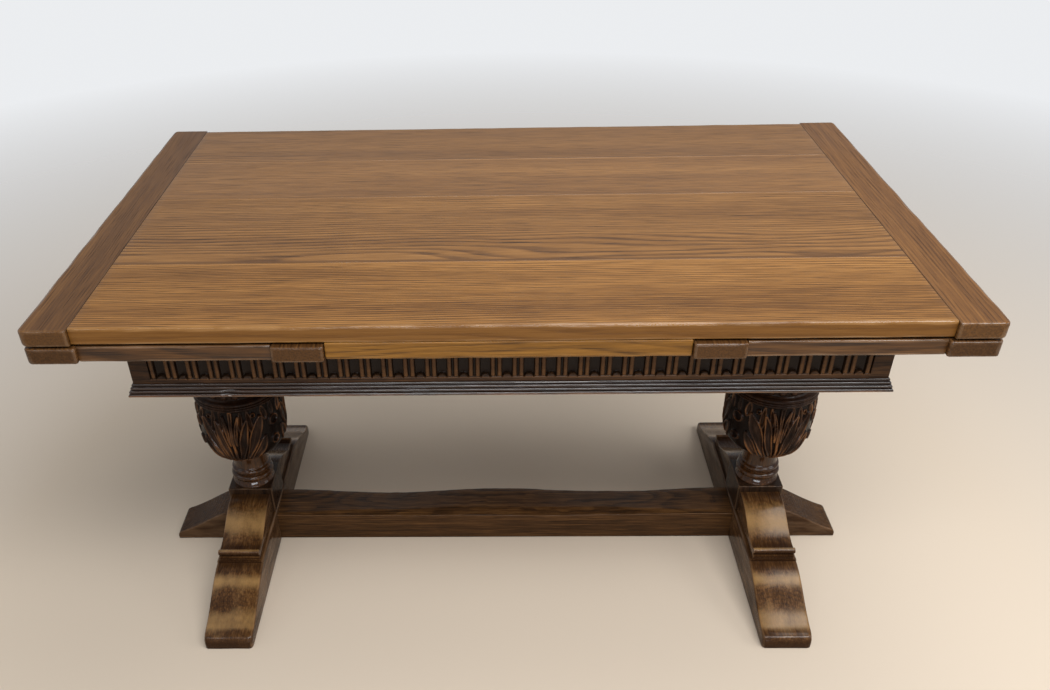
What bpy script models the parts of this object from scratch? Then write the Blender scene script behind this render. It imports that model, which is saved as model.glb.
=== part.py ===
"""Oak draw-leaf table.

A loose cleated top rests on a fixed centre board. Two cleated leaves lie under the top, one at
each end, and draw out along X on long bearers that run through notches in the end rails. The
frame has a fluted frieze over a stepped moulding, and stands on two turned cup-and-cover columns,
each on a sledge foot with scroll brackets and a short outrigger, joined by a floor stretcher.

Metres, +Z up, +X along the table, origin on the floor under the middle of the top.
"""
import math

import bmesh
import bpy
from mathutils import Vector

# Gaps: glued or resting faces, and faces that slide past each other
JOINT_GAP = 0.0003
SLIDE_GAP = 0.001
OVERRUN = 0.02

# Whole table
TABLE_HEIGHT = 0.760
TOP_LENGTH = 1.420
TOP_WIDTH = 0.864

# Loose top: boards between two cleats, which stand a little proud of them
TOP_THICKNESS = 0.027
TOP_BOARD_JOINT_SHARES = (0.243, 0.559, 0.780)
TOP_CLEAT_WIDTH = 0.072
CLEAT_PROUD = 0.007
TONGUE_LENGTH = 0.014
TONGUE_THICKNESS = 0.009
TONGUE_SIDE_INSET = 0.003
BOARD_ARRIS = 0.003
CLEAT_ARRIS = 0.004
ARRIS_ANGLE = 40

# Locating pegs, fixed in the centre board, that the loose top drops over
PEG_RADIUS = 0.009
PEG_END_INSET = 0.0875
PEG_OFFSET_Y = 0.106
PEG_RISE = 0.018
PEG_SEAT_DEPTH = 0.020
PEG_HOLE_CLEARANCE = 0.001
PEG_NOSE = 0.003

# Draw leaves
LEAF_LENGTH = 0.440
LEAF_THICKNESS = 0.026
LEAF_DROP = 0.0037
LEAF_END_SETBACK = 0.0015
LEAF_OUTER_CLEAT_WIDTH = 0.076
LEAF_INNER_CLEAT_WIDTH = 0.078

# Centre board, fixed to the frame between the leaves
CENTRE_BOARD_END_GAP = 0.001
CENTRE_BOARD_ARRIS = 0.004

# Leaf bearers, two to a leaf and staggered in Y so that the two pairs pass each other
BEARER_WIDTH = 0.032
BEARER_INNER_SETBACK = 0.1565
BEARER_OUTER_SETBACK = 0.070
BEARER_WIDE_Y = 0.240
BEARER_NARROW_Y = 0.200
BEARER_ARRIS = 0.002
STOP_LENGTH = 0.040
STOP_HEIGHT = 0.016

# Screws up through the bearers into the leaves
SCREW_SIDES = 10
SCREW_HEAD_RADIUS = 0.0045
SCREW_HEAD_HEIGHT = 0.003
SCREW_SHANK_RADIUS = 0.0022
SCREW_BITE = 0.016
SCREW_SINK = 0.018
SCREW_CLEARANCE = 0.0006
SCREW_PLACE_SHARES = (0.34, 0.85)

# Frame: its set-back from the top's ends and sides, and rails with a fluted frieze
FRAME_END_OVERHANG = 0.132
FRAME_SIDE_OVERHANG = 0.042
RAIL_HEIGHT = 0.0813
RAIL_THICKNESS = 0.022
FLUTE_PITCH = 0.0333
FLUTE_WIDTH = 0.016
FLUTE_DEPTH = 0.0035
FLUTE_FOOT = 0.026
FLUTE_HEAD = 0.006
FLUTE_MARGIN = 0.027

# Stepped moulding round the foot of the frieze: height and projection of each step
MOULDING_STEPS = ((0.0055, 0.0086), (0.0050, 0.0066), (0.0050, 0.0042), (0.0050, 0.0018))

# Cross bearers inside the frame that take the columns' top tenons, and glued corner blocks
HEAD_WIDTH = 0.090
HEAD_HEIGHT = 0.045
CORNER_BLOCK_SIDE = 0.042

# Columns: their axes' set-back from the frame's ends, and their blocks and turnings
COLUMN_INSET = 0.033
COLUMN_SIDES = 24
BLOCK_SIDE = 0.094
BLOCK_ARRIS = 0.003
LOWER_BLOCK_TOP = 0.146
UPPER_BLOCK_HEIGHT = 0.074
HEAD_TENON_RADIUS = 0.017
HEAD_TENON_OFFSET = 0.016
FOOT_TENON_SIDE = 0.046
FOOT_TENON_LENGTH = 0.055
BASE_DISC_RADIUS = 0.0445
BASE_DISC_HEIGHT = 0.006
NECK_RADIUS = 0.0360
LOWER_RING_RADIUS = 0.0445
LOWER_RING_Z = 0.1665
LOWER_RING_HALF_HEIGHT = 0.0070
UPPER_RING_RADIUS = 0.0415
UPPER_RING_Z = 0.1825
UPPER_RING_HALF_HEIGHT = 0.0050
CUP_RADIUS = 0.0912
CUP_FOOT_Z = 0.229
CUP_WIDEST_Z = 0.325
CUP_RIM_Z = 0.376
CUP_RIM_RADIUS = 0.0870
CUP_FULLNESS = 4.0
RIM_RING_RADIUS = 0.0885
RIM_RING_HALF_HEIGHT = 0.0075
COVER_RADIUS = 0.080
COVER_TOP_Z = 0.500
COVER_FULLNESS = 2.3
CAP_NECK_RADIUS = 0.040
CAP_RING_RADIUS = 0.0465
CAP_RING_Z = 0.530
CAP_RING_HALF_HEIGHT = 0.0075
CURVE_STEPS = 8
RING_STEPS = 4
BEAD_STEPS = 8

# Sledge feet, along Y
FOOT_LENGTH = 0.728
FOOT_WIDTH = 0.096
FOOT_HEIGHT = 0.080
FOOT_STEP = 0.004
FOOT_FLAT_LENGTH = 0.402
FOOT_SLOPE_STRAIGHT_SHARE = 0.30
TOE_RISE = 0.028
TOE_FLAT = 0.014
TOE_DROP_SHARES = ((0.57, 0.875), (0.89, 0.68), (1.00, 0.43))
FOOT_ARRIS = 0.002
OGEE_STEPS = 10

# Scroll brackets on the feet, on both sides of each column block
BRACKET_WIDTH = 0.084
BRACKET_TOP_Z = 0.132
BRACKET_FOOT_Z = 0.098
BRACKET_CROWN_LENGTH = 0.018
BRACKET_TROUGH_LENGTH = 0.008
BEAD_RADIUS = 0.006
BEAD_END_ANGLE = -40
BRACKET_COVE_DEPTH = 0.0045
BRACKET_COVE_Z = 0.0905
BRACKET_FILLET_Z = 0.0880
BRACKET_TOE_GAP = 0.0015

# Outriggers, along X from the outer side of each foot
OUTRIGGER_LENGTH = 0.1355
OUTRIGGER_WIDTH = 0.086
OUTRIGGER_ROOT_Z = 0.078
OUTRIGGER_TOE_Z = 0.0185
OUTRIGGER_TOE_LENGTH = 0.004
OUTRIGGER_ROOT_LENGTH = 0.008
OUTRIGGER_STRAIGHT_SHARE = 0.7

# Floor stretcher between the feet, with hand-worked wavy edges
STRETCHER_WIDTH = 0.086
STRETCHER_HEIGHT = 0.069
STRETCHER_FLOOR_GAP = 0.001
STRETCHER_FRONT_DROP = 0.002
STRETCHER_FRONT_SAG = 0.003
STRETCHER_CHAMFER = 0.004
STRETCHER_CHAMFER_SWELL = 0.018
STRETCHER_BACK_DROP = 0.003
STRETCHER_WAVE = 0.005
STRETCHER_WAVE_COUNT = 2
STRETCHER_STATIONS = 19
STRETCHER_ARRIS = 0.003

# Stub tenons of the stretcher and the outriggers into the feet
STUB_LENGTH = 0.016
STUB_WIDTH = 0.044
STUB_HEIGHT = 0.036
STUB_Z = 0.036
MORTISE_CLEARANCE = 0.0004

# Heights worked out from the sizes above
TOP_UNDERSIDE = TABLE_HEIGHT - TOP_THICKNESS
LEAF_TOP = TOP_UNDERSIDE - LEAF_DROP
LEAF_UNDERSIDE = LEAF_TOP - LEAF_THICKNESS
CENTRE_BOARD_TOP = TOP_UNDERSIDE - JOINT_GAP
RAIL_TOP = LEAF_UNDERSIDE - JOINT_GAP
RAIL_FOOT = RAIL_TOP - RAIL_HEIGHT
HEAD_TOP = RAIL_FOOT + HEAD_HEIGHT
BEARER_UNDERSIDE = HEAD_TOP + JOINT_GAP
BEARER_TOP = LEAF_UNDERSIDE - JOINT_GAP
UPPER_BLOCK_TOP = RAIL_FOOT - JOINT_GAP
UPPER_BLOCK_FOOT = UPPER_BLOCK_TOP - UPPER_BLOCK_HEIGHT

# Places along X and Y worked out from the sizes above
TOP_PANEL_WIDTH = TOP_WIDTH - 2 * CLEAT_PROUD
TOP_END = TOP_LENGTH / 2
FRAME_LENGTH = TOP_LENGTH - 2 * FRAME_END_OVERHANG
FRAME_WIDTH = TOP_WIDTH - 2 * FRAME_SIDE_OVERHANG
COLUMN_X = FRAME_LENGTH / 2 - COLUMN_INSET
LEAF_OUTER_X = TOP_END - LEAF_END_SETBACK
LEAF_INNER_X = LEAF_OUTER_X - LEAF_LENGTH
CENTRE_BOARD_END = LEAF_INNER_X - CENTRE_BOARD_END_GAP
PEG_OFFSET_X = CENTRE_BOARD_END - PEG_END_INSET
LEAF_TRAVEL = TOP_END + SLIDE_GAP - LEAF_INNER_X
RAIL_INNER_Y = FRAME_WIDTH / 2 - RAIL_THICKNESS
RAIL_INNER_X = FRAME_LENGTH / 2 - RAIL_THICKNESS
BEARER_OUTER_X = LEAF_OUTER_X - BEARER_OUTER_SETBACK
BEARER_INNER_X = BEARER_INNER_SETBACK - RAIL_INNER_X
HEAD_OUTER_X = RAIL_INNER_X - JOINT_GAP
HEAD_INNER_X = HEAD_OUTER_X - HEAD_WIDTH
FOOT_INNER_X = COLUMN_X - FOOT_WIDTH / 2
FOOT_OUTER_X = COLUMN_X + FOOT_WIDTH / 2
BRACKET_TOE_Y = FOOT_FLAT_LENGTH / 2 - BRACKET_TOE_GAP

# Colours of the waxed oak, and roughness
TOP_BROWN = (0.27, 0.125, 0.042)
CLEAT_BROWN = (0.22, 0.095, 0.035)
EDGE_GOLD = (0.33, 0.165, 0.050)
LEAF_BROWN = (0.085, 0.042, 0.022)
CARVED_BROWN = (0.042, 0.020, 0.012)
FOOT_BROWN = (0.120, 0.062, 0.028)
HIDDEN_OAK = (0.30, 0.19, 0.10)
SCREW_STEEL = (0.25, 0.24, 0.22)
WAXED = 0.32
RAW = 0.65


def clear_scene():
    """Remove whatever the file opened with."""
    for item in list(bpy.data.objects):
        bpy.data.objects.remove(item, do_unlink=True)


def make_material(name, colour, roughness, metallic=0.0):
    """One Principled material."""
    material = bpy.data.materials.new(name)
    material.use_nodes = True
    shader = material.node_tree.nodes["Principled BSDF"]
    shader.inputs["Base Color"].default_value = (*colour, 1.0)
    shader.inputs["Roughness"].default_value = roughness
    shader.inputs["Metallic"].default_value = metallic
    material.diffuse_color = (*colour, 1.0)
    return material


def add_object(name, mesh_builder, colour, roughness=WAXED, metallic=0.0, parent=None):
    """Turn a bmesh into a named object with its own material, hung on its joint's empty."""
    bmesh.ops.recalc_face_normals(mesh_builder, faces=mesh_builder.faces)
    mesh = bpy.data.meshes.new(name)
    mesh_builder.to_mesh(mesh)
    mesh_builder.free()
    piece = bpy.data.objects.new(name, mesh)
    bpy.context.scene.collection.objects.link(piece)
    mesh.materials.append(make_material(name + "_finish", colour, roughness, metallic))
    if parent is not None:
        mesh.transform(parent.matrix_world.inverted())
        piece.parent = parent
    return piece


def add_joint_empty(name, place):
    """An empty on a joint's axis, which the moving pieces hang on."""
    empty = bpy.data.objects.new(name, None)
    empty.location = place
    bpy.context.scene.collection.objects.link(empty)
    bpy.context.view_layer.update()
    return empty


def add_rings(builder, rings):
    """Skin a row of rings that all have the same number of points, and close both ends."""
    rows = [[builder.verts.new(point) for point in ring] for ring in rings]
    count = len(rows[0])
    for low, high in zip(rows, rows[1:]):
        for i in range(count):
            j = (i + 1) % count
            builder.faces.new((low[i], low[j], high[j], high[i]))
    builder.faces.new(rows[0])
    builder.faces.new(rows[-1])


def loft(rings):
    """A closed solid from rings of points."""
    builder = bmesh.new()
    add_rings(builder, rings)
    return builder


def on_axis(axis, place, point):
    """A point of an outline, set at a place along the axis that the outline is drawn square to."""
    a, b = point
    return {"X": Vector((place, a, b)), "Y": Vector((a, place, b)), "Z": Vector((a, b, place))}[axis]


def prism(outline, axis, low, high):
    """An outline drawn out along X, Y or Z."""
    return loft([[on_axis(axis, place, point) for point in outline] for place in (low, high)])


def rectangle(a_low, a_high, b_low, b_high):
    return [(a_low, b_low), (a_high, b_low), (a_high, b_high), (a_low, b_high)]


def add_box(builder, low, high):
    outline = rectangle(low[0], high[0], low[1], high[1])
    add_rings(builder, [[on_axis("Z", z, point) for point in outline] for z in (low[2], high[2])])


def box(low, high):
    builder = bmesh.new()
    add_box(builder, low, high)
    return builder


def soften(piece, width):
    """Take the arrises off a piece, along its outward corners only."""
    shape = bmesh.new()
    shape.from_mesh(piece.data)
    sharp = math.radians(ARRIS_ANGLE)
    rounded = [edge.is_convex and edge.calc_face_angle() > sharp for edge in shape.edges]
    shape.free()
    weights = piece.data.attributes.new("bevel_weight_edge", "FLOAT", "EDGE")
    for index, wanted in enumerate(rounded):
        weights.data[index].value = 1.0 if wanted else 0.0
    bevel = piece.modifiers.new("arris", "BEVEL")
    bevel.width = width
    bevel.segments = 1
    bevel.limit_method = "WEIGHT"
    return piece


def cut(piece, builder, name):
    """Cut a bmesh out of a piece with a hidden cutter object."""
    cutter = add_object(name, builder, HIDDEN_OAK, RAW)
    cutter.hide_render = True
    cutter.display_type = "WIRE"
    boolean = piece.modifiers.new(name, "BOOLEAN")
    boolean.operation = "DIFFERENCE"
    boolean.solver = "EXACT"
    boolean.object = cutter
    return piece


def ring_circle(centre, radius, z, sides):
    """Points of a round ring about a vertical axis."""
    turn = 2 * math.pi / sides
    return [Vector((centre[0] + radius * math.cos(i * turn), centre[1] + radius * math.sin(i * turn), z))
            for i in range(sides)]


def ring_square(centre, half, z, sides):
    """Points of a square ring, at the same angles as a round one."""
    points = []
    for i in range(sides):
        angle = 2 * math.pi * i / sides
        reach = half / max(abs(math.cos(angle)), abs(math.sin(angle)))
        points.append(Vector((centre[0] + reach * math.cos(angle), centre[1] + reach * math.sin(angle), z)))
    return points


def ogee(low, high, steps, straight_share=0.0):
    """Points from low to high along an S-curve, or part of the way to a straight slope."""
    points = []
    for i in range(steps + 1):
        share = i / steps
        curve = (1 - math.cos(math.pi * share)) / 2
        rise = straight_share * share + (1 - straight_share) * curve
        points.append((low[0] + (high[0] - low[0]) * share, low[1] + (high[1] - low[1]) * rise))
    return points


def cleated_board(length_low, length_high, width_low, width_high, z_low, z_high):
    """A board along X with a tongue on each end for its cleats."""
    middle_z = (z_low + z_high) / 2
    body = rectangle(width_low, width_high, z_low, z_high)
    tongue = rectangle(width_low + TONGUE_SIDE_INSET, width_high - TONGUE_SIDE_INSET,
                       middle_z - TONGUE_THICKNESS / 2, middle_z + TONGUE_THICKNESS / 2)
    stations = ((length_low - TONGUE_LENGTH, tongue), (length_low, tongue), (length_low, body),
                (length_high, body), (length_high, tongue), (length_high + TONGUE_LENGTH, tongue))
    return loft([[on_axis("X", x, point) for point in outline] for x, outline in stations])


def add_cleat(name, inner_x, outer_x, z_low, z_high, colour, parent):
    """A cleat across a board's end, grooved on its inner side for the tongue."""
    side = 1 if outer_x > inner_x else -1
    low = (min(inner_x, outer_x), -TOP_WIDTH / 2, z_low)
    high = (max(inner_x, outer_x), TOP_WIDTH / 2, z_high)
    cleat = soften(add_object(name, box(low, high), colour, parent=parent), CLEAT_ARRIS)
    middle_z = (z_low + z_high) / 2
    half_groove = TONGUE_THICKNESS / 2 + JOINT_GAP
    groove_end = inner_x + side * (TONGUE_LENGTH + JOINT_GAP)
    groove_mouth = inner_x - side * OVERRUN
    groove = box((min(groove_mouth, groove_end), -TOP_PANEL_WIDTH / 2, middle_z - half_groove),
                 (max(groove_mouth, groove_end), TOP_PANEL_WIDTH / 2, middle_z + half_groove))
    return cut(cleat, groove, name + "_groove")


def add_top(parent):
    """The loose top: boards side by side between two cleats."""
    panel_end = TOP_END - TOP_CLEAT_WIDTH - JOINT_GAP
    edges = [TOP_PANEL_WIDTH * (share - 1 / 2) for share in (0, *TOP_BOARD_JOINT_SHARES, 1)]
    last = len(edges) - 1
    for i, (y_low, y_high) in enumerate(zip(edges, edges[1:]), 1):
        inner_low = y_low if i == 1 else y_low + JOINT_GAP / 2
        inner_high = y_high if i == last else y_high - JOINT_GAP / 2
        name = f"top_board_{i}"
        board = add_object(name, cleated_board(-panel_end, panel_end, inner_low, inner_high,
                                               TOP_UNDERSIDE, TABLE_HEIGHT), TOP_BROWN, parent=parent)
        round_outer_edge(board, i == 1, i == last)
        cut_peg_holes(board, y_low, y_high, name)
    for side, word in ((-1, "left"), (1, "right")):
        add_cleat(f"top_cleat_{word}", side * (TOP_END - TOP_CLEAT_WIDTH), side * TOP_END,
                  TOP_UNDERSIDE, TABLE_HEIGHT, CLEAT_BROWN, parent)


def round_outer_edge(board, at_front, at_back):
    """Soften only the long edges on the outer side of the first or last board."""
    if not (at_front or at_back):
        return
    ys = [vertex.co.y for vertex in board.data.vertices]
    outer_y = min(ys) if at_front else max(ys)
    weights = board.data.attributes.new("bevel_weight_edge", "FLOAT", "EDGE")
    length = max(vertex.co.x for vertex in board.data.vertices)
    for edge in board.data.edges:
        a, b = (board.data.vertices[index].co for index in edge.vertices)
        along_x = abs(a.x - b.x) > length
        on_outer_side = max(abs(a.y - outer_y), abs(b.y - outer_y)) < JOINT_GAP
        weights.data[edge.index].value = 1.0 if along_x and on_outer_side else 0.0
    bevel = board.modifiers.new("arris", "BEVEL")
    bevel.width = BOARD_ARRIS
    bevel.segments = 2
    bevel.limit_method = "WEIGHT"


def peg_places():
    """The two locating pegs, one each side of the middle and clear of the board joints."""
    return ((-PEG_OFFSET_X, -PEG_OFFSET_Y), (PEG_OFFSET_X, PEG_OFFSET_Y))


def cut_peg_holes(board, y_low, y_high, name):
    """Blind holes in the underside of the boards that lie over the pegs."""
    for x, y in peg_places():
        if y_low < y < y_high:
            radius = PEG_RADIUS + PEG_HOLE_CLEARANCE
            hole = loft([ring_circle((x, y), radius, z, COLUMN_SIDES // 2)
                         for z in (TOP_UNDERSIDE - OVERRUN, TOP_UNDERSIDE + PEG_RISE + PEG_HOLE_CLEARANCE)])
            cut(board, hole, name + "_peg_hole")


def add_centre_board():
    """The fixed board between the leaves, bored for the two pegs."""
    half_width = TOP_PANEL_WIDTH / 2
    board = soften(add_object("centre_board", box((-CENTRE_BOARD_END, -half_width, LEAF_UNDERSIDE),
                                                  (CENTRE_BOARD_END, half_width, CENTRE_BOARD_TOP)),
                              EDGE_GOLD), CENTRE_BOARD_ARRIS)
    holes = bmesh.new()
    for x, y in peg_places():
        add_rings(holes, [ring_circle((x, y), PEG_RADIUS + JOINT_GAP, z, COLUMN_SIDES // 2)
                          for z in (CENTRE_BOARD_TOP - PEG_SEAT_DEPTH - JOINT_GAP, CENTRE_BOARD_TOP + OVERRUN)])
    cut(board, holes, "centre_board_peg_holes")
    for (x, y), word in zip(peg_places(), ("left", "right")):
        low = CENTRE_BOARD_TOP - PEG_SEAT_DEPTH
        high = TOP_UNDERSIDE + PEG_RISE
        stations = ((low, PEG_RADIUS), (high - PEG_NOSE, PEG_RADIUS), (high, PEG_RADIUS - PEG_NOSE))
        add_object(f"locating_peg_{word}",
                   loft([ring_circle((x, y), radius, z, COLUMN_SIDES // 2) for z, radius in stations]),
                   HIDDEN_OAK, RAW)


def bearer_places(side):
    """Y places of one leaf's two bearers; the other leaf's are the same turned half round."""
    return (("wide", side * BEARER_WIDE_Y), ("narrow", -side * BEARER_NARROW_Y))


def screw_xs(side):
    """X places of the screws that hold one leaf to each of its bearers."""
    run = BEARER_OUTER_X - LEAF_INNER_X
    return [side * (LEAF_INNER_X + share * run) for share in SCREW_PLACE_SHARES]


def add_screw(builder, x, y, clearance=0.0, overrun=0.0):
    """One screw head down, or the bore for it when a clearance is given."""
    head_z = BEARER_UNDERSIDE + SCREW_SINK
    stations = ((head_z - overrun, SCREW_HEAD_RADIUS + clearance),
                (head_z + SCREW_HEAD_HEIGHT + clearance, SCREW_HEAD_RADIUS + clearance),
                (head_z + SCREW_HEAD_HEIGHT + clearance, SCREW_SHANK_RADIUS + clearance),
                (LEAF_UNDERSIDE + SCREW_BITE + clearance, SCREW_SHANK_RADIUS + clearance))
    add_rings(builder, [ring_circle((x, y), radius, z, SCREW_SIDES) for z, radius in stations])


def add_leaf(side, word, parent):
    """One draw leaf: cleated panel, two bearers with their stops, and the screws."""
    z_low, z_high = LEAF_UNDERSIDE, LEAF_TOP
    inner_joint = LEAF_INNER_X + LEAF_INNER_CLEAT_WIDTH
    outer_joint = LEAF_OUTER_X - LEAF_OUTER_CLEAT_WIDTH
    panel_low, panel_high = sorted((side * (inner_joint + JOINT_GAP), side * (outer_joint - JOINT_GAP)))
    half_width = TOP_PANEL_WIDTH / 2
    panel = add_object(f"leaf_{word}_panel",
                       cleated_board(panel_low, panel_high, -half_width, half_width, z_low, z_high),
                       LEAF_BROWN, parent=parent)
    add_cleat(f"leaf_{word}_outer_cleat", side * outer_joint, side * LEAF_OUTER_X, z_low, z_high,
              LEAF_BROWN, parent)
    add_cleat(f"leaf_{word}_inner_cleat", side * inner_joint, side * LEAF_INNER_X, z_low, z_high,
              LEAF_BROWN, parent)
    panel_bores = bmesh.new()
    for kind, y in bearer_places(side):
        bearer_bores = bmesh.new()
        for count, x in enumerate(screw_xs(side), 1):
            add_screw(panel_bores, x, y, SCREW_CLEARANCE)
            add_screw(bearer_bores, x, y, SCREW_CLEARANCE, SCREW_SINK + OVERRUN)
            screw = bmesh.new()
            add_screw(screw, x, y)
            add_object(f"leaf_{word}_screw_{kind}_{count}", screw, SCREW_STEEL, roughness=0.4,
                       metallic=1.0, parent=parent)
        add_bearer(side, word, kind, y, bearer_bores, parent)
    cut(panel, panel_bores, f"leaf_{word}_screw_bores")


def add_bearer(side, word, kind, y, bores, parent):
    """A long bearer under a leaf, and the stop block that ends the draw against the cross bearer."""
    ends = sorted((side * BEARER_OUTER_X, side * BEARER_INNER_X))
    y_low, y_high = y - BEARER_WIDTH / 2, y + BEARER_WIDTH / 2
    name = f"leaf_{word}_bearer_{kind}"
    bearer = soften(add_object(name, box((ends[0], y_low, BEARER_UNDERSIDE), (ends[1], y_high, BEARER_TOP)),
                               HIDDEN_OAK, RAW, parent=parent), BEARER_ARRIS)
    cut(bearer, bores, name + "_bores")
    stop_outer = HEAD_INNER_X - LEAF_TRAVEL - JOINT_GAP
    stops = sorted((side * stop_outer, side * (stop_outer - STOP_LENGTH)))
    stop_top = BEARER_UNDERSIDE - JOINT_GAP
    add_object(f"leaf_{word}_stop_{kind}",
               box((stops[0], y_low, stop_top - STOP_HEIGHT), (stops[1], y_high, stop_top)),
               HIDDEN_OAK, RAW, parent=parent)


def flute_cutters(middle_count, half_length, keep_clear):
    """Places of the flutes along a rail, leaving out those that meet a notch."""
    places = [(i - (middle_count - 1) / 2) * FLUTE_PITCH for i in range(middle_count)]
    return [place for place in places
            if abs(place) < half_length - FLUTE_MARGIN
            and all(abs(place - centre) > clear for centre, clear in keep_clear)]


def flute_count(half_length):
    return int(2 * (half_length - FLUTE_MARGIN) / FLUTE_PITCH)


def add_rail(name, axis, face, outward, half_length, notches=()):
    """A frame rail, fluted on its outer face, with notches in its top edge for the bearers."""
    inner = face - outward * RAIL_THICKNESS
    low, high = sorted((face, inner))

    def corner(across, along, z):
        return (along, across, z) if axis == "X" else (across, along, z)

    rail = add_object(name, box(corner(low, -half_length, RAIL_FOOT), corner(high, half_length, RAIL_TOP)),
                      CARVED_BROWN)
    if notches:
        notch_half = BEARER_WIDTH / 2 + SLIDE_GAP
        slots = bmesh.new()
        for place in notches:
            add_box(slots, corner(low - OVERRUN, place - notch_half, HEAD_TOP),
                    corner(high + OVERRUN, place + notch_half, RAIL_TOP + OVERRUN))
        cut(rail, slots, name + "_notches")
    floor_low, floor_high = sorted((face - outward * FLUTE_DEPTH, face + outward * OVERRUN))
    clear = BEARER_WIDTH / 2 + FLUTE_WIDTH
    flutes = bmesh.new()
    places = flute_cutters(flute_count(half_length), half_length, [(place, clear) for place in notches])
    for place in places:
        add_box(flutes, corner(floor_low, place - FLUTE_WIDTH / 2, RAIL_FOOT + FLUTE_FOOT),
                corner(floor_high, place + FLUTE_WIDTH / 2, RAIL_TOP - FLUTE_HEAD))
    return cut(rail, flutes, name + "_flutes")


def moulding_outline():
    """Projection and height of the stepped moulding, from its foot up."""
    height = 0.0
    outline = [(0.0, 0.0)]
    for step_height, step_depth in MOULDING_STEPS:
        outline.append((step_depth, height))
        height += step_height
        outline.append((step_depth, height))
    outline.append((0.0, height))
    return outline


def add_moulding(name, axis, outward):
    """One mitred length of the moulding, planted on the rail."""
    face = FRAME_WIDTH / 2 if axis == "X" else FRAME_LENGTH / 2
    run = FRAME_LENGTH / 2 if axis == "X" else FRAME_WIDTH / 2
    rings = []
    for end in (-1, 1):
        ring = []
        for depth, height in moulding_outline():
            across = outward * (face + JOINT_GAP + depth)
            along = end * (run + depth)
            z = RAIL_FOOT + height
            ring.append(Vector((along, across, z)) if axis == "X" else Vector((across, along, z)))
        rings.append(ring)
    return add_object(name, loft(rings), CARVED_BROWN)


def add_frame():
    """Rails, mouldings, cross bearers and corner blocks."""
    half_length, half_width = FRAME_LENGTH / 2, FRAME_WIDTH / 2
    for outward, word in ((-1, "front"), (1, "back")):
        add_rail(f"rail_{word}", "X", outward * half_width, outward, half_length)
        add_moulding(f"moulding_{word}", "X", outward)
    for side, word in ((-1, "left"), (1, "right")):
        notches = [y for _, y in bearer_places(side)]
        add_rail(f"rail_{word}", "Y", side * half_length, side, RAIL_INNER_Y - JOINT_GAP, notches)
        add_moulding(f"moulding_{word}", "Y", side)
        add_head(side, word)
        for outward, row in ((-1, "front"), (1, "back")):
            add_corner_block(f"corner_block_{row}_{word}", side, outward)


def add_head(side, word):
    """The cross bearer inside the frame, bored for the column's top tenon."""
    ends = sorted((side * HEAD_INNER_X, side * HEAD_OUTER_X))
    reach = RAIL_INNER_Y - JOINT_GAP
    head = add_object(f"cross_bearer_{word}", box((ends[0], -reach, RAIL_FOOT), (ends[1], reach, HEAD_TOP)),
                      HIDDEN_OAK, RAW)
    tenon_centre = (side * (COLUMN_X - HEAD_TENON_OFFSET), 0.0)
    bore = loft([ring_circle(tenon_centre, HEAD_TENON_RADIUS + MORTISE_CLEARANCE, z, COLUMN_SIDES)
                 for z in (RAIL_FOOT - OVERRUN, HEAD_TOP + OVERRUN)])
    cut(head, bore, f"cross_bearer_{word}_bore")


def add_corner_block(name, side, outward):
    """A glued triangular block in a corner of the frame."""
    x = side * (RAIL_INNER_X - JOINT_GAP)
    y = outward * (RAIL_INNER_Y - JOINT_GAP)
    outline = [(x, y), (x - side * CORNER_BLOCK_SIDE, y), (x, y - outward * CORNER_BLOCK_SIDE)]
    add_object(name, prism(outline, "Z", HEAD_TOP + JOINT_GAP, RAIL_TOP - JOINT_GAP), HIDDEN_OAK, RAW)


def torus_profile(z, half_height, core, radius):
    """Radii and heights over a rounded ring."""
    points = []
    for i in range(RING_STEPS + 1):
        angle = math.pi * i / RING_STEPS
        points.append((core + (radius - core) * math.sin(angle), z - half_height * math.cos(angle)))
    return points


def swelling(widest_z, end_z, widest, fullness):
    """Radii and heights on a full-bodied curve, from its widest height to its end."""
    points = []
    for i in range(CURVE_STEPS + 1):
        angle = math.pi / 2 * i / CURVE_STEPS
        out, along = math.cos(angle) ** (2 / fullness), math.sin(angle) ** (2 / fullness)
        points.append((widest * out, widest_z + (end_z - widest_z) * along))
    return points


def column_profile():
    """Radius and height up the turned part of a column."""
    disc_top = LOWER_BLOCK_TOP + BASE_DISC_HEIGHT
    profile = [(BASE_DISC_RADIUS, LOWER_BLOCK_TOP), (BASE_DISC_RADIUS, disc_top)]
    profile += torus_profile(LOWER_RING_Z, LOWER_RING_HALF_HEIGHT, NECK_RADIUS, LOWER_RING_RADIUS)
    profile += torus_profile(UPPER_RING_Z, UPPER_RING_HALF_HEIGHT, NECK_RADIUS, UPPER_RING_RADIUS)
    cup = swelling(CUP_WIDEST_Z, CUP_FOOT_Z, CUP_RADIUS, CUP_FULLNESS)
    profile += [(max(radius, NECK_RADIUS), z) for radius, z in reversed(cup)]
    shoulder = (CUP_RADIUS + CUP_RIM_RADIUS) / 2
    profile += [(shoulder, (CUP_WIDEST_Z + CUP_RIM_Z) / 2), (CUP_RIM_RADIUS, CUP_RIM_Z)]
    rim_z = CUP_RIM_Z + RIM_RING_HALF_HEIGHT + JOINT_GAP
    profile += torus_profile(rim_z, RIM_RING_HALF_HEIGHT, COVER_RADIUS, RIM_RING_RADIUS)
    cover_foot = rim_z + RIM_RING_HALF_HEIGHT + JOINT_GAP
    cover = swelling(cover_foot, COVER_TOP_Z, COVER_RADIUS, COVER_FULLNESS)
    profile += [(radius, z) for radius, z in cover if radius > CAP_NECK_RADIUS]
    profile += [(CAP_NECK_RADIUS, COVER_TOP_Z)]
    profile += torus_profile(CAP_RING_Z, CAP_RING_HALF_HEIGHT, CAP_NECK_RADIUS, CAP_RING_RADIUS)
    profile += [(CAP_NECK_RADIUS, UPPER_BLOCK_FOOT)]
    return profile


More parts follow.
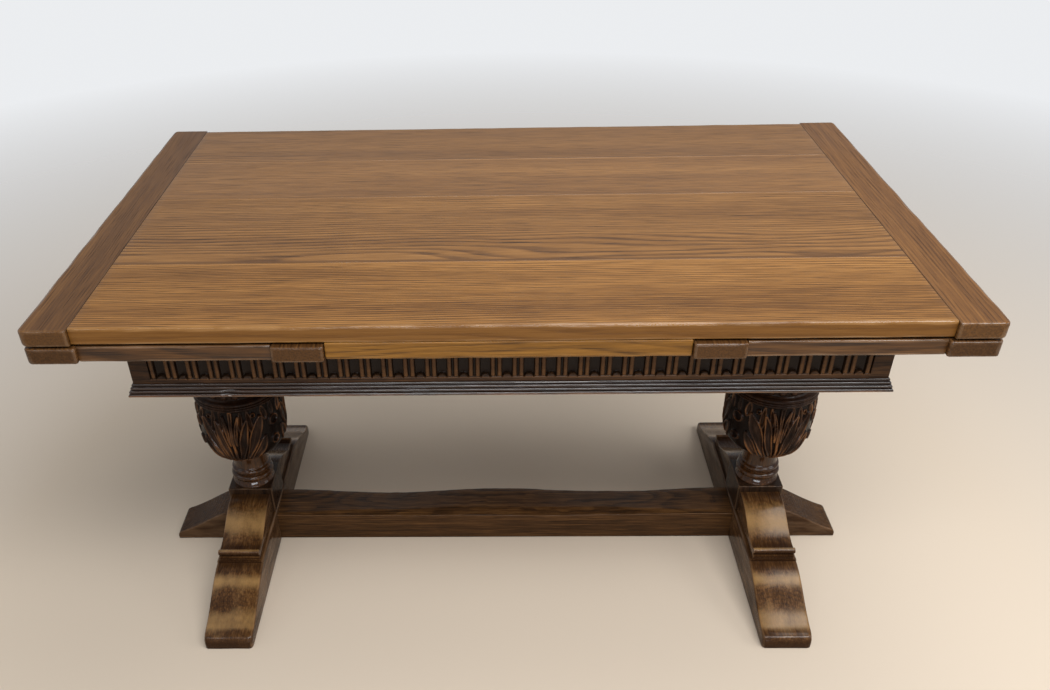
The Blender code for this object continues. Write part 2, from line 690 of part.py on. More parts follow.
def add_column(side, word):
    """A turned cup-and-cover column with square blocks and a tenon at each end."""
    centre = (side * COLUMN_X, 0.0)
    tenon_centre = (side * (COLUMN_X - HEAD_TENON_OFFSET), 0.0)
    sides = COLUMN_SIDES
    half_block, half_tenon = BLOCK_SIDE / 2, FOOT_TENON_SIDE / 2
    block_foot = FOOT_HEIGHT + JOINT_GAP
    rings = [ring_square(centre, half_tenon, block_foot - FOOT_TENON_LENGTH, sides),
             ring_square(centre, half_tenon, block_foot, sides),
             ring_square(centre, half_block, block_foot, sides),
             ring_square(centre, half_block, LOWER_BLOCK_TOP - BLOCK_ARRIS, sides),
             ring_square(centre, half_block - BLOCK_ARRIS / 3, LOWER_BLOCK_TOP, sides)]
    rings += [ring_circle(centre, radius, z, sides) for radius, z in column_profile()]
    rings += [ring_square(centre, half_block - BLOCK_ARRIS, UPPER_BLOCK_FOOT, sides),
              ring_square(centre, half_block, UPPER_BLOCK_FOOT + BLOCK_ARRIS, sides),
              ring_square(centre, half_block, UPPER_BLOCK_TOP, sides),
              ring_circle(tenon_centre, HEAD_TENON_RADIUS, UPPER_BLOCK_TOP, sides),
              ring_circle(tenon_centre, HEAD_TENON_RADIUS, HEAD_TOP, sides)]
    column = add_object(f"column_{word}", loft(rings), CARVED_BROWN)
    column.data.shade_smooth()
    column.data.set_sharp_from_angle(angle=math.radians(35))


def foot_outline():
    """Side view of a sledge foot, from the floor at one toe round to the other."""
    half, flat = FOOT_LENGTH / 2, FOOT_FLAT_LENGTH / 2
    toe = [(half - TOE_FLAT * (1 - out), TOE_RISE * height) for out, height in reversed(TOE_DROP_SHARES)]
    slope = ogee((half - TOE_FLAT, TOE_RISE), (flat, FOOT_HEIGHT - FOOT_STEP), OGEE_STEPS,
                 FOOT_SLOPE_STRAIGHT_SHARE)
    right = [(half, 0.0)] + toe + slope + [(flat, FOOT_HEIGHT)]
    return right + [(-y, z) for y, z in reversed(right)]


def stub(x_root, x_end, grow=0.0):
    """The stub tenon between two places along X, or its mortise when grown."""
    low, high = sorted((x_root, x_end))
    return box((low, -STUB_WIDTH / 2 - grow, STUB_Z - STUB_HEIGHT / 2 - grow),
               (high, STUB_WIDTH / 2 + grow, STUB_Z + STUB_HEIGHT / 2 + grow))


def add_foot(side, word):
    """A sledge foot, mortised for the column, the stretcher and the outrigger."""
    x_low, x_high = side * COLUMN_X - FOOT_WIDTH / 2, side * COLUMN_X + FOOT_WIDTH / 2
    foot = soften(add_object(f"foot_{word}", prism(foot_outline(), "X", x_low, x_high), FOOT_BROWN), FOOT_ARRIS)
    half = FOOT_TENON_SIDE / 2 + MORTISE_CLEARANCE
    centre = side * COLUMN_X
    cut(foot, box((centre - half, -half, FOOT_HEIGHT - FOOT_TENON_LENGTH - MORTISE_CLEARANCE),
                  (centre + half, half, FOOT_HEIGHT + OVERRUN)), f"foot_{word}_column_mortise")
    depth = STUB_LENGTH + MORTISE_CLEARANCE
    for face, inward, piece in ((FOOT_INNER_X, 1, "stretcher"), (FOOT_OUTER_X, -1, "outrigger")):
        mortise = stub(side * (face - inward * OVERRUN), side * (face + inward * depth), MORTISE_CLEARANCE)
        cut(foot, mortise, f"foot_{word}_{piece}_mortise")


def bracket_outline():
    """Side view of a scroll bracket, Y outward from the block and Z up."""
    block_y = BLOCK_SIDE / 2 + JOINT_GAP
    seat_z = FOOT_HEIGHT + JOINT_GAP
    bead_y = BRACKET_TOE_Y - BEAD_RADIUS
    trough_y = bead_y - BEAD_RADIUS - BRACKET_TROUGH_LENGTH
    outline = [(block_y, seat_z), (block_y, BRACKET_TOP_Z)]
    outline += ogee((block_y + BRACKET_CROWN_LENGTH, BRACKET_TOP_Z), (trough_y, BRACKET_FOOT_Z), OGEE_STEPS)
    for i in range(BEAD_STEPS + 1):
        angle = math.radians(180 + (BEAD_END_ANGLE - 180) * i / BEAD_STEPS)
        outline.append((bead_y + BEAD_RADIUS * math.cos(angle), BRACKET_FOOT_Z + BEAD_RADIUS * math.sin(angle)))
    cove_y = BRACKET_TOE_Y - BRACKET_COVE_DEPTH
    outline += [(cove_y, BRACKET_COVE_Z), (cove_y, BRACKET_FILLET_Z), (BRACKET_TOE_Y, BRACKET_FILLET_Z),
                (BRACKET_TOE_Y, seat_z)]
    return outline


def add_bracket(side, word, outward, row):
    x = side * COLUMN_X
    outline = [(outward * y, z) for y, z in bracket_outline()]
    add_object(f"bracket_{row}_{word}",
               prism(outline, "X", x - BRACKET_WIDTH / 2, x + BRACKET_WIDTH / 2), FOOT_BROWN)


def outrigger_rise(share):
    """Height of an outrigger's top edge, between a straight slope and an S-curve."""
    curve = (1 + math.cos(math.pi * share)) / 2
    blend = OUTRIGGER_STRAIGHT_SHARE * (1 - share) + (1 - OUTRIGGER_STRAIGHT_SHARE) * curve
    return OUTRIGGER_TOE_Z + (OUTRIGGER_ROOT_Z - OUTRIGGER_TOE_Z) * blend


def add_outrigger(side, word):
    """A short foot out along X, with a stub tenon into the sledge foot."""
    root = FOOT_OUTER_X + JOINT_GAP
    tip = root + OUTRIGGER_LENGTH
    slope_low, slope_high = root + OUTRIGGER_ROOT_LENGTH, tip - OUTRIGGER_TOE_LENGTH
    tops = [(root, OUTRIGGER_ROOT_Z)]
    for i in range(OGEE_STEPS + 1):
        share = i / OGEE_STEPS
        tops.append((slope_low + (slope_high - slope_low) * share, outrigger_rise(share)))
    tops.append((tip, OUTRIGGER_TOE_Z - OUTRIGGER_TOE_LENGTH))
    half = OUTRIGGER_WIDTH / 2
    tenon = [Vector((side * (root - STUB_LENGTH), y, z)) for y, z in stub_corners()]
    shoulder = [Vector((side * root, y, z)) for y, z in stub_corners()]
    rings = [tenon, shoulder]
    rings += [[Vector((side * x, y, z)) for y, z in rectangle(-half, half, 0.0, top)] for x, top in tops]
    soften(add_object(f"outrigger_{word}", loft(rings), FOOT_BROWN), FOOT_ARRIS)


def stub_corners():
    return rectangle(-STUB_WIDTH / 2, STUB_WIDTH / 2, STUB_Z - STUB_HEIGHT / 2, STUB_Z + STUB_HEIGHT / 2)


def stretcher_section(share):
    """Section of the stretcher at a share of its length, wavy along its top edges."""
    half = STRETCHER_WIDTH / 2
    foot = STRETCHER_FLOOR_GAP
    swell = math.sin(math.pi * share)
    top = foot + STRETCHER_HEIGHT
    back_top = top - STRETCHER_BACK_DROP + STRETCHER_WAVE * math.cos(2 * math.pi * STRETCHER_WAVE_COUNT * share)
    front_top = top - STRETCHER_FRONT_DROP - STRETCHER_FRONT_SAG * swell
    chamfer = STRETCHER_CHAMFER + STRETCHER_CHAMFER_SWELL * swell
    arris = STRETCHER_ARRIS
    return [(-half + arris, foot), (half - arris, foot), (half, foot + arris), (half, back_top - arris),
            (half - arris, back_top), (-half + chamfer, top), (-half, front_top), (-half, foot + arris)]


def stub_octagon():
    """The stub tenon's section with as many points as the stretcher's."""
    y, low, high = STUB_WIDTH / 2, STUB_Z - STUB_HEIGHT / 2, STUB_Z + STUB_HEIGHT / 2
    arris = STRETCHER_ARRIS
    return [(-y + arris, low), (y - arris, low), (y, low + arris), (y, high - arris),
            (y - arris, high), (-y + arris, high), (-y, high - arris), (-y, low + arris)]


def add_stretcher():
    """The floor stretcher with a stub tenon at each end."""
    end = FOOT_INNER_X - JOINT_GAP
    tenon = stub_octagon()
    stations = [(-end - STUB_LENGTH, tenon), (-end, tenon)]
    for i in range(STRETCHER_STATIONS):
        share = i / (STRETCHER_STATIONS - 1)
        stations.append((-end + 2 * end * share, stretcher_section(share)))
    stations += [(end, tenon), (end + STUB_LENGTH, tenon)]
    add_object("stretcher", loft([[on_axis("X", x, point) for point in outline] for x, outline in stations]),
               FOOT_BROWN)


def build_table():
    clear_scene()
    top_lift = add_joint_empty("top_lift_axis", (0.0, 0.0, TOP_UNDERSIDE))
    add_top(top_lift)
    add_centre_board()
    for side, word in ((-1, "left"), (1, "right")):
        slide = add_joint_empty(f"leaf_{word}_axis", (side * LEAF_OUTER_X, 0.0, LEAF_UNDERSIDE))
        add_leaf(side, word, slide)
    add_frame()
    for side, word in ((-1, "left"), (1, "right")):
        add_column(side, word)
        add_foot(side, word)
        add_outrigger(side, word)
        for outward, row in ((-1, "front"), (1, "back")):
            add_bracket(side, word, outward, row)
    add_stretcher()
    bpy.context.view_layer.update()


build_table()
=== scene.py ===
"""Looks of the oak draw-leaf table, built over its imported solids."""

import math

import bmesh
import bpy
import numpy as np
from mathutils import Matrix, Vector, noise


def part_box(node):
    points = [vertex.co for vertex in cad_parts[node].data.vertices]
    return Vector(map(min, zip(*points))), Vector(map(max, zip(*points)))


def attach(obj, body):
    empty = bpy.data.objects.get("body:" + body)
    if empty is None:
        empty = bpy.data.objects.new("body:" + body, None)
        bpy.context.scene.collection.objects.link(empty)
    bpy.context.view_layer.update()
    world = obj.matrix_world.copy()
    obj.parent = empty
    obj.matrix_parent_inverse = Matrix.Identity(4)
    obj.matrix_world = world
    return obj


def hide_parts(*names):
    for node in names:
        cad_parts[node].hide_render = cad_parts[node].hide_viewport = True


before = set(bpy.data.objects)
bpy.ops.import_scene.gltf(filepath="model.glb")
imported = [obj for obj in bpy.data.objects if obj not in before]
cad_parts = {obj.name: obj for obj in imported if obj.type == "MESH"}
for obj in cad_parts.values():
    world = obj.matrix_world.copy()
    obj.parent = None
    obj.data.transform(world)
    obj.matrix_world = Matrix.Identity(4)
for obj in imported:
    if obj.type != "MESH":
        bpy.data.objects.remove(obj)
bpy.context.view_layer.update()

SIDES = (("left", -1), ("right", 1))
ROWS = (("front", -1), ("back", 1))
MM = 0.001
GAP = 0.0003
ARRIS_GUARD = 0.0012
FULL_WEAR_ARRIS = 0.002

# Small helpers


def smooth(low, high, x):
    t = np.clip((x - low) / (high - low), 0.0, 1.0)
    return t * t * (3 - 2 * t)


def wander(place, seed, size, rate=9.0):
    """A slow unevenness along a length, as hand tools and wear leave it."""
    return size * noise.noise(Vector((place * rate, seed * 7.31, 0.5)))


def unevenness(points, size, rate, seed):
    """The same unevenness over a cloud of points."""
    shift = Vector((seed * 3.7, seed * 1.9, seed * 5.3))
    return np.array([size * noise.noise(Vector(p) * rate + shift) for p in points])


def placed(axis, along, a, b):
    """A section's point (a, b), put at a place along X, Y or Z."""
    return {"X": (along, a, b), "Y": (a, along, b), "Z": (a, b, along)}[axis]


def unit(lines):
    return lines / np.linalg.norm(lines, axis=-1, keepdims=True)


def rounded(points, cuts, steps=4):
    """An outline with rounded corners, and how much each point lies on a worn arris."""
    made, wear = [], []
    for i, cut in enumerate(cuts):
        corner = np.array(points[i])
        back = unit(np.array(points[i - 1]) - corner)
        ahead = unit(np.array(points[(i + 1) % len(points)]) - corner)
        made.append(corner + back * (cut + ARRIS_GUARD))
        for k in range(steps + 1):
            t = k / steps
            made.append(corner + back * cut * (1 - t) ** 2 + ahead * cut * t ** 2)
        made.append(corner + ahead * (cut + ARRIS_GUARD))
        wear += [0.0] + [min(1.0, cut / FULL_WEAR_ARRIS)] * (steps + 1) + [0.0]
    return np.array(made), np.array(wear)


def inset(outline, distance):
    """An outline moved inwards, seen with its inside on the left."""
    both = unit(outline - np.roll(outline, 1, 0)) + unit(np.roll(outline, -1, 0) - outline)
    normal = np.stack([-both[:, 1], both[:, 0]], 1)
    length = np.maximum(np.linalg.norm(normal, axis=1), 1.0)[:, None]
    return outline + normal / length * distance * 2 / length


def split(line, spacing):
    """A line with more points along its straight runs, without its last point."""
    made = []
    for point, after in zip(line, line[1:]):
        parts = max(1, int(np.linalg.norm(after - point) / spacing))
        made += [point + (after - point) * k / parts for k in range(parts)]
    return made


def finer(outline):
    return np.array(split([*outline, outline[0]], 0.006))


def ogee(low, high, steps, straight=0.0):
    """Points of an S-shaped rise, of which a share may be straight."""
    share = np.linspace(0, 1, steps + 1)
    rise = straight * share + (1 - straight) * (1 - np.cos(np.pi * share)) / 2
    return [(low[0] + (high[0] - low[0]) * s, low[1] + (high[1] - low[1]) * r)
            for s, r in zip(share, rise)]


def ring_faces(rows, columns):
    """Quads between closed rings, and a cap on both ends."""
    faces = [(i * columns + j, i * columns + (j + 1) % columns,
              (i + 1) * columns + (j + 1) % columns, (i + 1) * columns + j)
             for i in range(rows - 1) for j in range(columns)]
    ends = [tuple(range(row * columns, (row + 1) * columns)) for row in (0, rows - 1)]
    return faces + ends


def link(name, data):
    made = bpy.data.objects.new(name, data)
    bpy.context.scene.collection.objects.link(made)
    return made


def make_piece(name, points, faces, part, wear=None, relief=None, sharp=38):
    """A mesh that rides on its body and stands for its nodes. A part is a body, nodes, a slot
    and a material. The slot is not used."""
    body, nodes, slot, material = part
    mesh = bpy.data.meshes.new(name)
    mesh.from_pydata([tuple(map(float, p)) for p in points], [], faces)
    for label, values in (("wear", wear), ("relief", relief)):
        layer = mesh.attributes.new(label, "FLOAT", "POINT")
        if values is not None:
            layer.data.foreach_set("value", np.asarray(values, np.float32).ravel())
    shape = bmesh.new()
    shape.from_mesh(mesh)
    bmesh.ops.recalc_face_normals(shape, faces=shape.faces)
    shape.to_mesh(mesh)
    shape.free()
    mesh.materials.append(material)
    mesh.shade_smooth()
    mesh.set_sharp_from_angle(angle=math.radians(sharp))
    piece = link(name, mesh)
    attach(piece, body)
    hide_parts(*nodes)
    return piece


def cut_with(piece, shape):
    mesh = bpy.data.meshes.new("cutter")
    shape.to_mesh(mesh)
    shape.free()
    cutter = link("cutter", mesh)
    boolean = piece.modifiers.new("cut", "BOOLEAN")
    boolean.operation = "DIFFERENCE"
    boolean.solver = "EXACT"
    boolean.object = cutter
    bpy.context.view_layer.update()
    evaluated = piece.evaluated_get(bpy.context.evaluated_depsgraph_get())
    result = bpy.data.meshes.new_from_object(evaluated)
    piece.modifiers.clear()
    piece.data = result
    bpy.data.objects.remove(cutter, do_unlink=True)


def bore(piece, holes):
    """Round holes along Z, each given as x, y, low, high and radius."""
    shape = bmesh.new()
    for x, y, low, high, radius in holes:
        place = Matrix.Translation((x, y, (low + high) / 2))
        bmesh.ops.create_cone(shape, cap_ends=True, segments=24, radius1=radius, radius2=radius,
                              depth=high - low, matrix=place)
    cut_with(piece, shape)


def hole_for(name, low, over, play, radius=None):
    """The hole about a peg or screw, from a height to a little over the top of it."""
    at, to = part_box(name)
    radius = (to.x - at.x) / 2 if radius is None else radius
    return (at.x + to.x) / 2, (at.y + to.y) / 2, low, to.z + over, radius + play


def shrink(distance, radius):
    """How far a rounded corner has drawn in, at a distance from the end."""
    if distance >= radius:
        return 0.0
    return radius - math.sqrt(radius ** 2 - (radius - distance) ** 2)


def stations(low, high, longest, spacing):
    """Places along a bar, closer together near its rounded ends."""
    near = [d * MM for d in (0, 0.3, 1, 2, 3.5, 5.5, 8, 11) if d * MM < longest] + [longest]
    count = max(2, int((high - low - 2 * longest) / spacing))
    middle = list(np.linspace(low + longest, high - longest, count + 1))[1:-1]
    return [low + d for d in near] + middle + [high - d for d in reversed(near)]


def bar(name, axis, low, high, arrises, part, plan=(0.0, 0.0), end=0.0015, uneven=0.0002,
        seed=0.0, spacing=0.014):
    """A board or block between two corners, with worn arrises and rounded ends."""
    k = "XYZ".index(axis)
    (a0, b0), (a1, b1) = [[c[i] for i in range(3) if i != k] for c in (low, high)]
    start, stop = low[k], high[k]
    rings, wears = [], []
    places = stations(start, stop, max(end, *plan), spacing)
    for place in [start] + places + [stop]:
        near = min(place - start, stop - place)
        lift = shrink(near, end)
        inner = a0 + max(shrink(near, plan[0]), lift) + wander(place, seed + 1, uneven)
        outer = a1 - max(shrink(near, plan[1]), lift) + wander(place, seed + 2, uneven)
        corners = [(inner, b0 + lift), (outer, b0 + lift), (outer, b1 - lift), (inner, b1 - lift)]
        cuts = [arris * (1 + wander(place, seed + 3 + i, 0.45, 22))
                for i, arris in enumerate(arrises)]
        section, wear = rounded(corners, cuts)
        rings.append([placed(axis, place, a, b) for a, b in section])
        wears.append(np.maximum(wear, 1.0 if near < end * 0.9 and end > 0.001 else 0.0))
    rings, wears = np.array(rings), np.array(wears)
    for ring in (0, -1):
        away = rings[ring].mean(0) - rings[ring]
        reach = np.linalg.norm(away, axis=1, keepdims=True)
        rings[ring] += away / reach * np.minimum(ARRIS_GUARD, reach / 2)
        wears[ring] = 0.0
    faces = ring_faces(len(rings), rings.shape[1])
    return make_piece(name, rings.reshape(-1, 3), faces, part, wears)


def prism(name, axis, low, high, outline, radius, part, uneven, seed, tint, bend=None):
    """An outline drawn out along an axis, with its end arrises rounded over."""
    steps, spacing, rate = 4, 0.012, 22
    turns = [math.pi / 2 * k / steps for k in range(steps + 1)]
    ends = [(radius * (1 - math.cos(a)), radius * (1 - math.sin(a)), 1.0) for a in turns]
    ends += [(radius + d, 0.0, 0.0) for d in (0.0014, 0.0034, 0.0058)]
    half, last = (high - low) / 2, ends[-1][0]
    count = max(1, int(half / spacing))
    ends += [(last + (half - last) * k / count, 0.0, 0.0) for k in range(1, count + 1)]
    whole = [(low + p, d, w) for p, d, w in ends]
    whole += [(high - p, d, w) for p, d, w in reversed(ends[:-1])]
    rings = np.array([[placed(axis, place, a, b) for a, b in inset(outline, drop)]
                      for place, drop, _ in whole])
    inward = unit(rings.mean(1, keepdims=True) - rings)
    points = rings.reshape(-1, 3)
    push = unevenness(points, uneven, rate, seed) + uneven
    points = points + inward.reshape(-1, 3) * push[:, None]
    points = points if bend is None else bend(points)
    wear = np.repeat([w for _, _, w in whole], len(outline))
    relief = np.tile(tint(outline[:, 0], outline[:, 1]), len(whole))
    make_piece(name, points, ring_faces(len(whole), len(outline)), part, wear, relief)


# Materials

DRIFT_WEIGHT, STREAK_WEIGHT, FIBRE_WEIGHT = 0.25, 0.35, 0.40
TONE_SPREAD = 0.115
RING_SHADE = (0.0, 0.55), (0.06, 0.12), (0.30, 0.35), (0.50, 0.62), (0.90, 0.75), (1.0, 0.55)
RING_PORES = (0.0, 0.6), (0.08, 1.0), (0.28, 0.9), (0.5, 0.22), (0.92, 0.22), (1.0, 0.6)
WIDE_BAND = 0.003
TOP_TONES = (0.088, 0.035, 0.008), (0.202, 0.089, 0.021), (0.318, 0.152, 0.042)
EDGE_TONES = (0.100, 0.041, 0.006), (0.208, 0.090, 0.014), (0.330, 0.158, 0.030)
CLEAT_TONES = (0.060, 0.023, 0.006), (0.145, 0.061, 0.015), (0.240, 0.112, 0.030)
LEAF_TONES = (0.028, 0.012, 0.004), (0.076, 0.032, 0.010), (0.150, 0.067, 0.020)
RAW_TONES = (0.17, 0.095, 0.045), (0.30, 0.185, 0.095), (0.42, 0.28, 0.155)
FRIEZE_TONES = (0.014, 0.0065, 0.003), (0.040, 0.018, 0.008), (0.080, 0.036, 0.013)
MOULDING_TONES = (0.006, 0.003, 0.002), (0.015, 0.007, 0.004), (0.036, 0.016, 0.008)
CARVED_TONES = (0.012, 0.005, 0.003), (0.032, 0.013, 0.006), (0.064, 0.026, 0.010)
TURNED_TONES = (0.012, 0.004, 0.002), (0.042, 0.016, 0.005), (0.105, 0.040, 0.011)
BLOCK_TONES = (0.010, 0.006, 0.004), (0.026, 0.013, 0.007), (0.055, 0.027, 0.013)
FOOT_TONES = (0.026, 0.011, 0.004), (0.072, 0.031, 0.010), (0.155, 0.073, 0.024)
STRETCHER_TONES = (0.016, 0.007, 0.002), (0.062, 0.027, 0.009), (0.155, 0.072, 0.024)
# Rubbed gold of the feet, which is also a painted sheen
FOOT_RUB_AND_SHEEN = (0.370, 0.215, 0.080)
SEAM = (0.018, 0.009, 0.005)
# Colours of worn arrises, which also stand for painted highlights along them
PALE_WEAR_AND_HIGHLIGHT = (0.26, 0.145, 0.070)
GOLD_WEAR_AND_HIGHLIGHT = (0.34, 0.175, 0.055)


def scaled(colour, factor):
    return tuple(c * factor for c in colour)


def new_material(name):
    material = bpy.data.materials.new(name)
    material.use_nodes = True
    tree = material.node_tree
    return material, tree, tree.nodes["Principled BSDF"]


def feed(node, inputs):
    """Link a node's inputs to sockets, and set constants on the inputs themselves."""
    for key, value in inputs.items():
        if isinstance(value, bpy.types.NodeSocket):
            node.id_data.links.new(value, node.inputs[key])
        else:
            node.inputs[key].default_value = value


def add(tree, kind, inputs=None, **settings):
    made = tree.nodes.new("ShaderNode" + kind)
    for key, value in settings.items():
        setattr(made, key, value)
    feed(made, inputs or {})
    return made


def maths(operation, *inputs, kind="Math", output=0):
    """A sum worked in the tree of its first input."""
    made = add(inputs[0].id_data, kind, dict(enumerate(inputs)), operation=operation)
    return made.outputs[output]


def times(first, second, plus=None):
    """A product, and its sum with a third value where there is one."""
    if plus is None:
        return maths("MULTIPLY", first, second)
    return maths("MULTIPLY_ADD", first, second, plus)


def vectors(operation, *inputs, output=0):
    return maths(operation, *inputs, kind="VectorMath", output=output)


def part_of(vector, letter):
    return add(vector.id_data, "SeparateXYZ", {0: vector}).outputs["XYZ".index(letter)]


def attribute(tree, name):
    return add(tree, "Attribute", attribute_name=name).outputs["Fac"]


def blend(share, first, second):
    first, second = ((*c, 1.0) if isinstance(c, tuple) else c for c in (first, second))
    made = add(share.id_data, "Mix", {0: share, 6: first, 7: second}, data_type="RGBA")
    return made.outputs[2]


def ramp(value, *stops):
    """A colour ramp. Each stop is a place with a grey or a colour."""
    made = add(value.id_data, "ValToRGB", {0: value})
    elements = made.color_ramp.elements
    while len(elements) < len(stops):
        elements.new(0.5)
    for element, (place, colour) in zip(elements, stops):
        element.position = place
        element.color = (*colour, 1.0) if isinstance(colour, tuple) else (*[colour] * 3, 1.0)
    return made.outputs[0]


def oak(name, tones, axis, seed, heart, rings, figure=0.12, contrast=0.85, pore_depth=0.7,
        roughness=0.36, specular=0.25, coat=0.0, coat_roughness=0.2, worn=None, worn_share=0.7,
        arris_coat=0.0, hollow_dirt_and_shade=None, ridge_rub_and_sheen=None, ridge_share=0.95, tops_lit_sides_shaded=False, mottled=0.6,
        patch=(50.0, 140.0), end_tone=None, bands=()):
    """Waxed oak: drifting tone, growth rings about a heart line, fibres, pores, wear, dirt,
    painted shade, painted sheen and painted highlights.
    """
    material, tree, shader = new_material(name)
    source = add(tree, "TexCoord")
    coordinates, normal = source.outputs["Object"], source.outputs["Normal"]
    dark, mid, light = tones

    def grain(along, across, shift, detail=3.0, rough=0.55, output="Fac"):
        """Noise that is drawn out along the grain."""
        scale = [along if letter == axis else across for letter in "XYZ"]
        vector = add(tree, "Mapping", {"Vector": coordinates, "Scale": scale,
                                       "Location": scaled((1, 0.7, 1.3), seed + shift)})
        return add(tree, "TexNoise", {"Vector": vector.outputs[0], "Scale": 1.0,
                                      "Detail": detail, "Roughness": rough}).outputs[output]

    # Rings, fibres and pores
    warp = vectors("SUBTRACT", grain(1.3, 6.0, 4, 2.0, 0.5, "Color"), (0.5, 0.5, 0.5))
    moved = vectors("MULTIPLY_ADD", warp, (0.05, 0.05, 0.05), coordinates)
    away = vectors("SUBTRACT", moved, heart)
    flat = vectors("MULTIPLY", away, [float(letter != axis) for letter in "XYZ"])
    turn = maths("FRACT", times(vectors("LENGTH", flat, output="Value"), rings))
    ring = ramp(turn, *RING_SHADE)
    streak = grain(3.0, 160.0, 13, 3.0, 0.65)
    fibre = grain(12.0, 400.0, 9, 3.0, 0.7)
    dash = ramp(grain(13.0, 560.0, 21, 2.0), (0.51, 0.0), (0.60, 1.0))
    pores = times(dash, ramp(turn, *RING_PORES))

    # Colour of clean wood
    tone = times(grain(0.55, 13.0, 0, 2.0), DRIFT_WEIGHT)
    for layer, weight in ((streak, STREAK_WEIGHT - figure), (fibre, FIBRE_WEIGHT), (ring, figure)):
        tone = times(layer, weight, tone)
    spread = TONE_SPREAD / contrast
    colour = ramp(tone, (0.5 - spread, dark), (0.5, mid), (0.5 + spread, light))
    colour = blend(times(pores, pore_depth), colour, scaled(dark, 0.38))
    if end_tone is not None:
        speckled = ramp(fibre, (0.36, scaled(end_tone, 0.65)), (0.64, scaled(end_tone, 1.4)))
        facing = maths("ABSOLUTE", part_of(normal, axis))
        colour = blend(ramp(facing, (0.55, 0.0), (0.85, 0.85)), colour, speckled)

    # Bands along joints and edges
    wobble = times(maths("SUBTRACT", streak, 0.5), 0.004)
    for letter, place, half, tint, strength in bands:
        shift = wobble if half > WIDE_BAND else 0.0
        shifted = maths("ADD", part_of(coordinates, letter), shift)
        off = maths("ABSOLUTE", maths("SUBTRACT", shifted, place))
        mask = ramp(maths("DIVIDE", off, half * 2), (0.25, 1.0), (0.5, 0.0))
        colour = blend(times(mask, strength), colour, tint)

    # Dirt and painted shade in the hollows, rubbed ridges with a painted sheen on the feet, and
    # worn arrises that also stand for painted highlights
    cover = coat
    if hollow_dirt_and_shade is not None:
        mottle = grain(*patch, 33, 4.0, 0.6)
        lowered = maths("SUBTRACT", attribute(tree, "relief"), mottled / 2)
        height = times(mottle, mottled, lowered)
        # Painted light: side faces are painted darker than faces turned up, as shade, and lose the
        # painted sheen
        if tops_lit_sides_shaded:
            rise = part_of(normal, "Z")
            height = times(height, ramp(rise, (0.30, 0.35), (0.80, 1.0)))
        colour = blend(ramp(height, (0.06, 0.0), (0.50, 1.0)), hollow_dirt_and_shade, colour)
        colour = blend(ramp(height, (0.50, 0.0), (1.0, ridge_share)), colour, ridge_rub_and_sheen)
        cover = ramp(height, (0.25, 0.05 * coat), (0.75, coat))
    gloss = times(grain(4.0, 9.0, 61), 0.18, roughness - 0.09)
    gloss = times(pores, 0.15, gloss)
    # Worn arrises are painted paler, which also stands for painted highlights along them
    if worn is not None:
        wear = attribute(tree, "wear")
        rubbed = times(wear, ramp(grain(14.0, 60.0, 51), (0.36, 0.1), (0.62, 1.0)))
        colour = blend(times(rubbed, worn_share), colour, worn)
        gloss = times(wear, -0.13, gloss)
        if arris_coat:
            cover = times(rubbed, arris_coat, cover)

    height = times(ring, 0.2, times(pores, -0.8, times(fibre, 0.6)))
    bump = add(tree, "Bump", {"Height": height, "Strength": 0.35, "Distance": 0.0005})
    feed(shader, {"Base Color": colour, "Roughness": gloss, "Coat Weight": cover,
                  "Coat Roughness": coat_roughness, "Specular IOR Level": specular,
                  "Normal": bump.outputs[0]})
    return material


def steel(name):
    """Dulled screw steel."""
    material, tree, shader = new_material(name)
    coordinates = add(tree, "TexCoord").outputs["Object"]
    spots = add(tree, "TexNoise", {"Vector": coordinates, "Scale": 900.0, "Detail": 4.0})
    spots = spots.outputs[0]
    colour = ramp(spots, (0.35, (0.10, 0.08, 0.06)), (0.7, (0.30, 0.29, 0.27)))
    feed(shader, {"Base Color": colour, "Roughness": times(spots, 0.3, 0.3), "Metallic": 1.0})
    return material


# The loose top

JOINT_BAND = 0.0016
CLEAT_BACK = 0.0010
BOARD_JOINT = 0.0006, 0.0008
BOARD_FRONT = 0.0030, 0.0042
# For each board: its heart line's offset and depth, its specular level and its tone
BOARD_CUTS = ((0.24, 0.12, 0.24, 1.06), (-0.16, 0.22, 0.36, 0.97),
              (0.31, 0.15, 0.50, 1.04), (-0.22, 0.20, 0.50, 0.96))


def add_top_board(count, inner, heart, sunk, sheen, fit):
    node = f"top_board_{count}"
    low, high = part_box(node)
    first, last = count == 1, count == len(BOARD_CUTS)
    tones = [scaled(tone, fit) for tone in TOP_TONES]
    bands = [("X", side * inner, JOINT_BAND, SEAM, 0.45) for side in (-1, 1)]
    # Painted shade: the first board's front face and the last board's back face, with the arris
    # beside each, are painted darker
    if first or last:
        bands.append(("Y", low.y if first else high.y, 0.0056, (0.132, 0.052, 0.008), 0.75))
    if not first:
        half, strength = (0.010, 0.80) if count == 2 else (0.005, 0.40)
        bands.append(("Y", low.y, half, tones[0], strength))
    if not last:
        bands.append(("Y", high.y, 0.007, tones[2], 0.45))
        bands.append(("Y", high.y, 0.0011, SEAM, 0.30 if first else 0.12))
    wood = oak(f"top_oak_{count}", tones, "X", 3.1 * count,
               (0.0, (low.y + high.y) / 2 + heart, low.z - sunk), 185 + 14 * count,
               figure=0.21, contrast=1.18 - 0.11 * count, pore_depth=0.85, roughness=0.34,
               specular=sheen, coat_roughness=0.08, worn=GOLD_WEAR_AND_HIGHLIGHT, worn_share=0.5,
               arris_coat=0.7, bands=bands)
    front, back = (BOARD_FRONT if edge else BOARD_JOINT for edge in (first, last))
    board = bar(node + "_oak", "X", (-inner, low.y, low.z), (inner, high.y, high.z),
                [front[0], back[0], back[1], front[1]], ("top", [node], "top_oak", wood),
                end=0.0009, uneven=0.0002 if first or last else 0.0, seed=count)
    for side, _ in SIDES:
        hole = hole_for(f"locating_peg_{side}", low.z - 0.01, 0.001, 0.001)
        if low.y < hole[1] < high.y:
            bore(board, [hole])


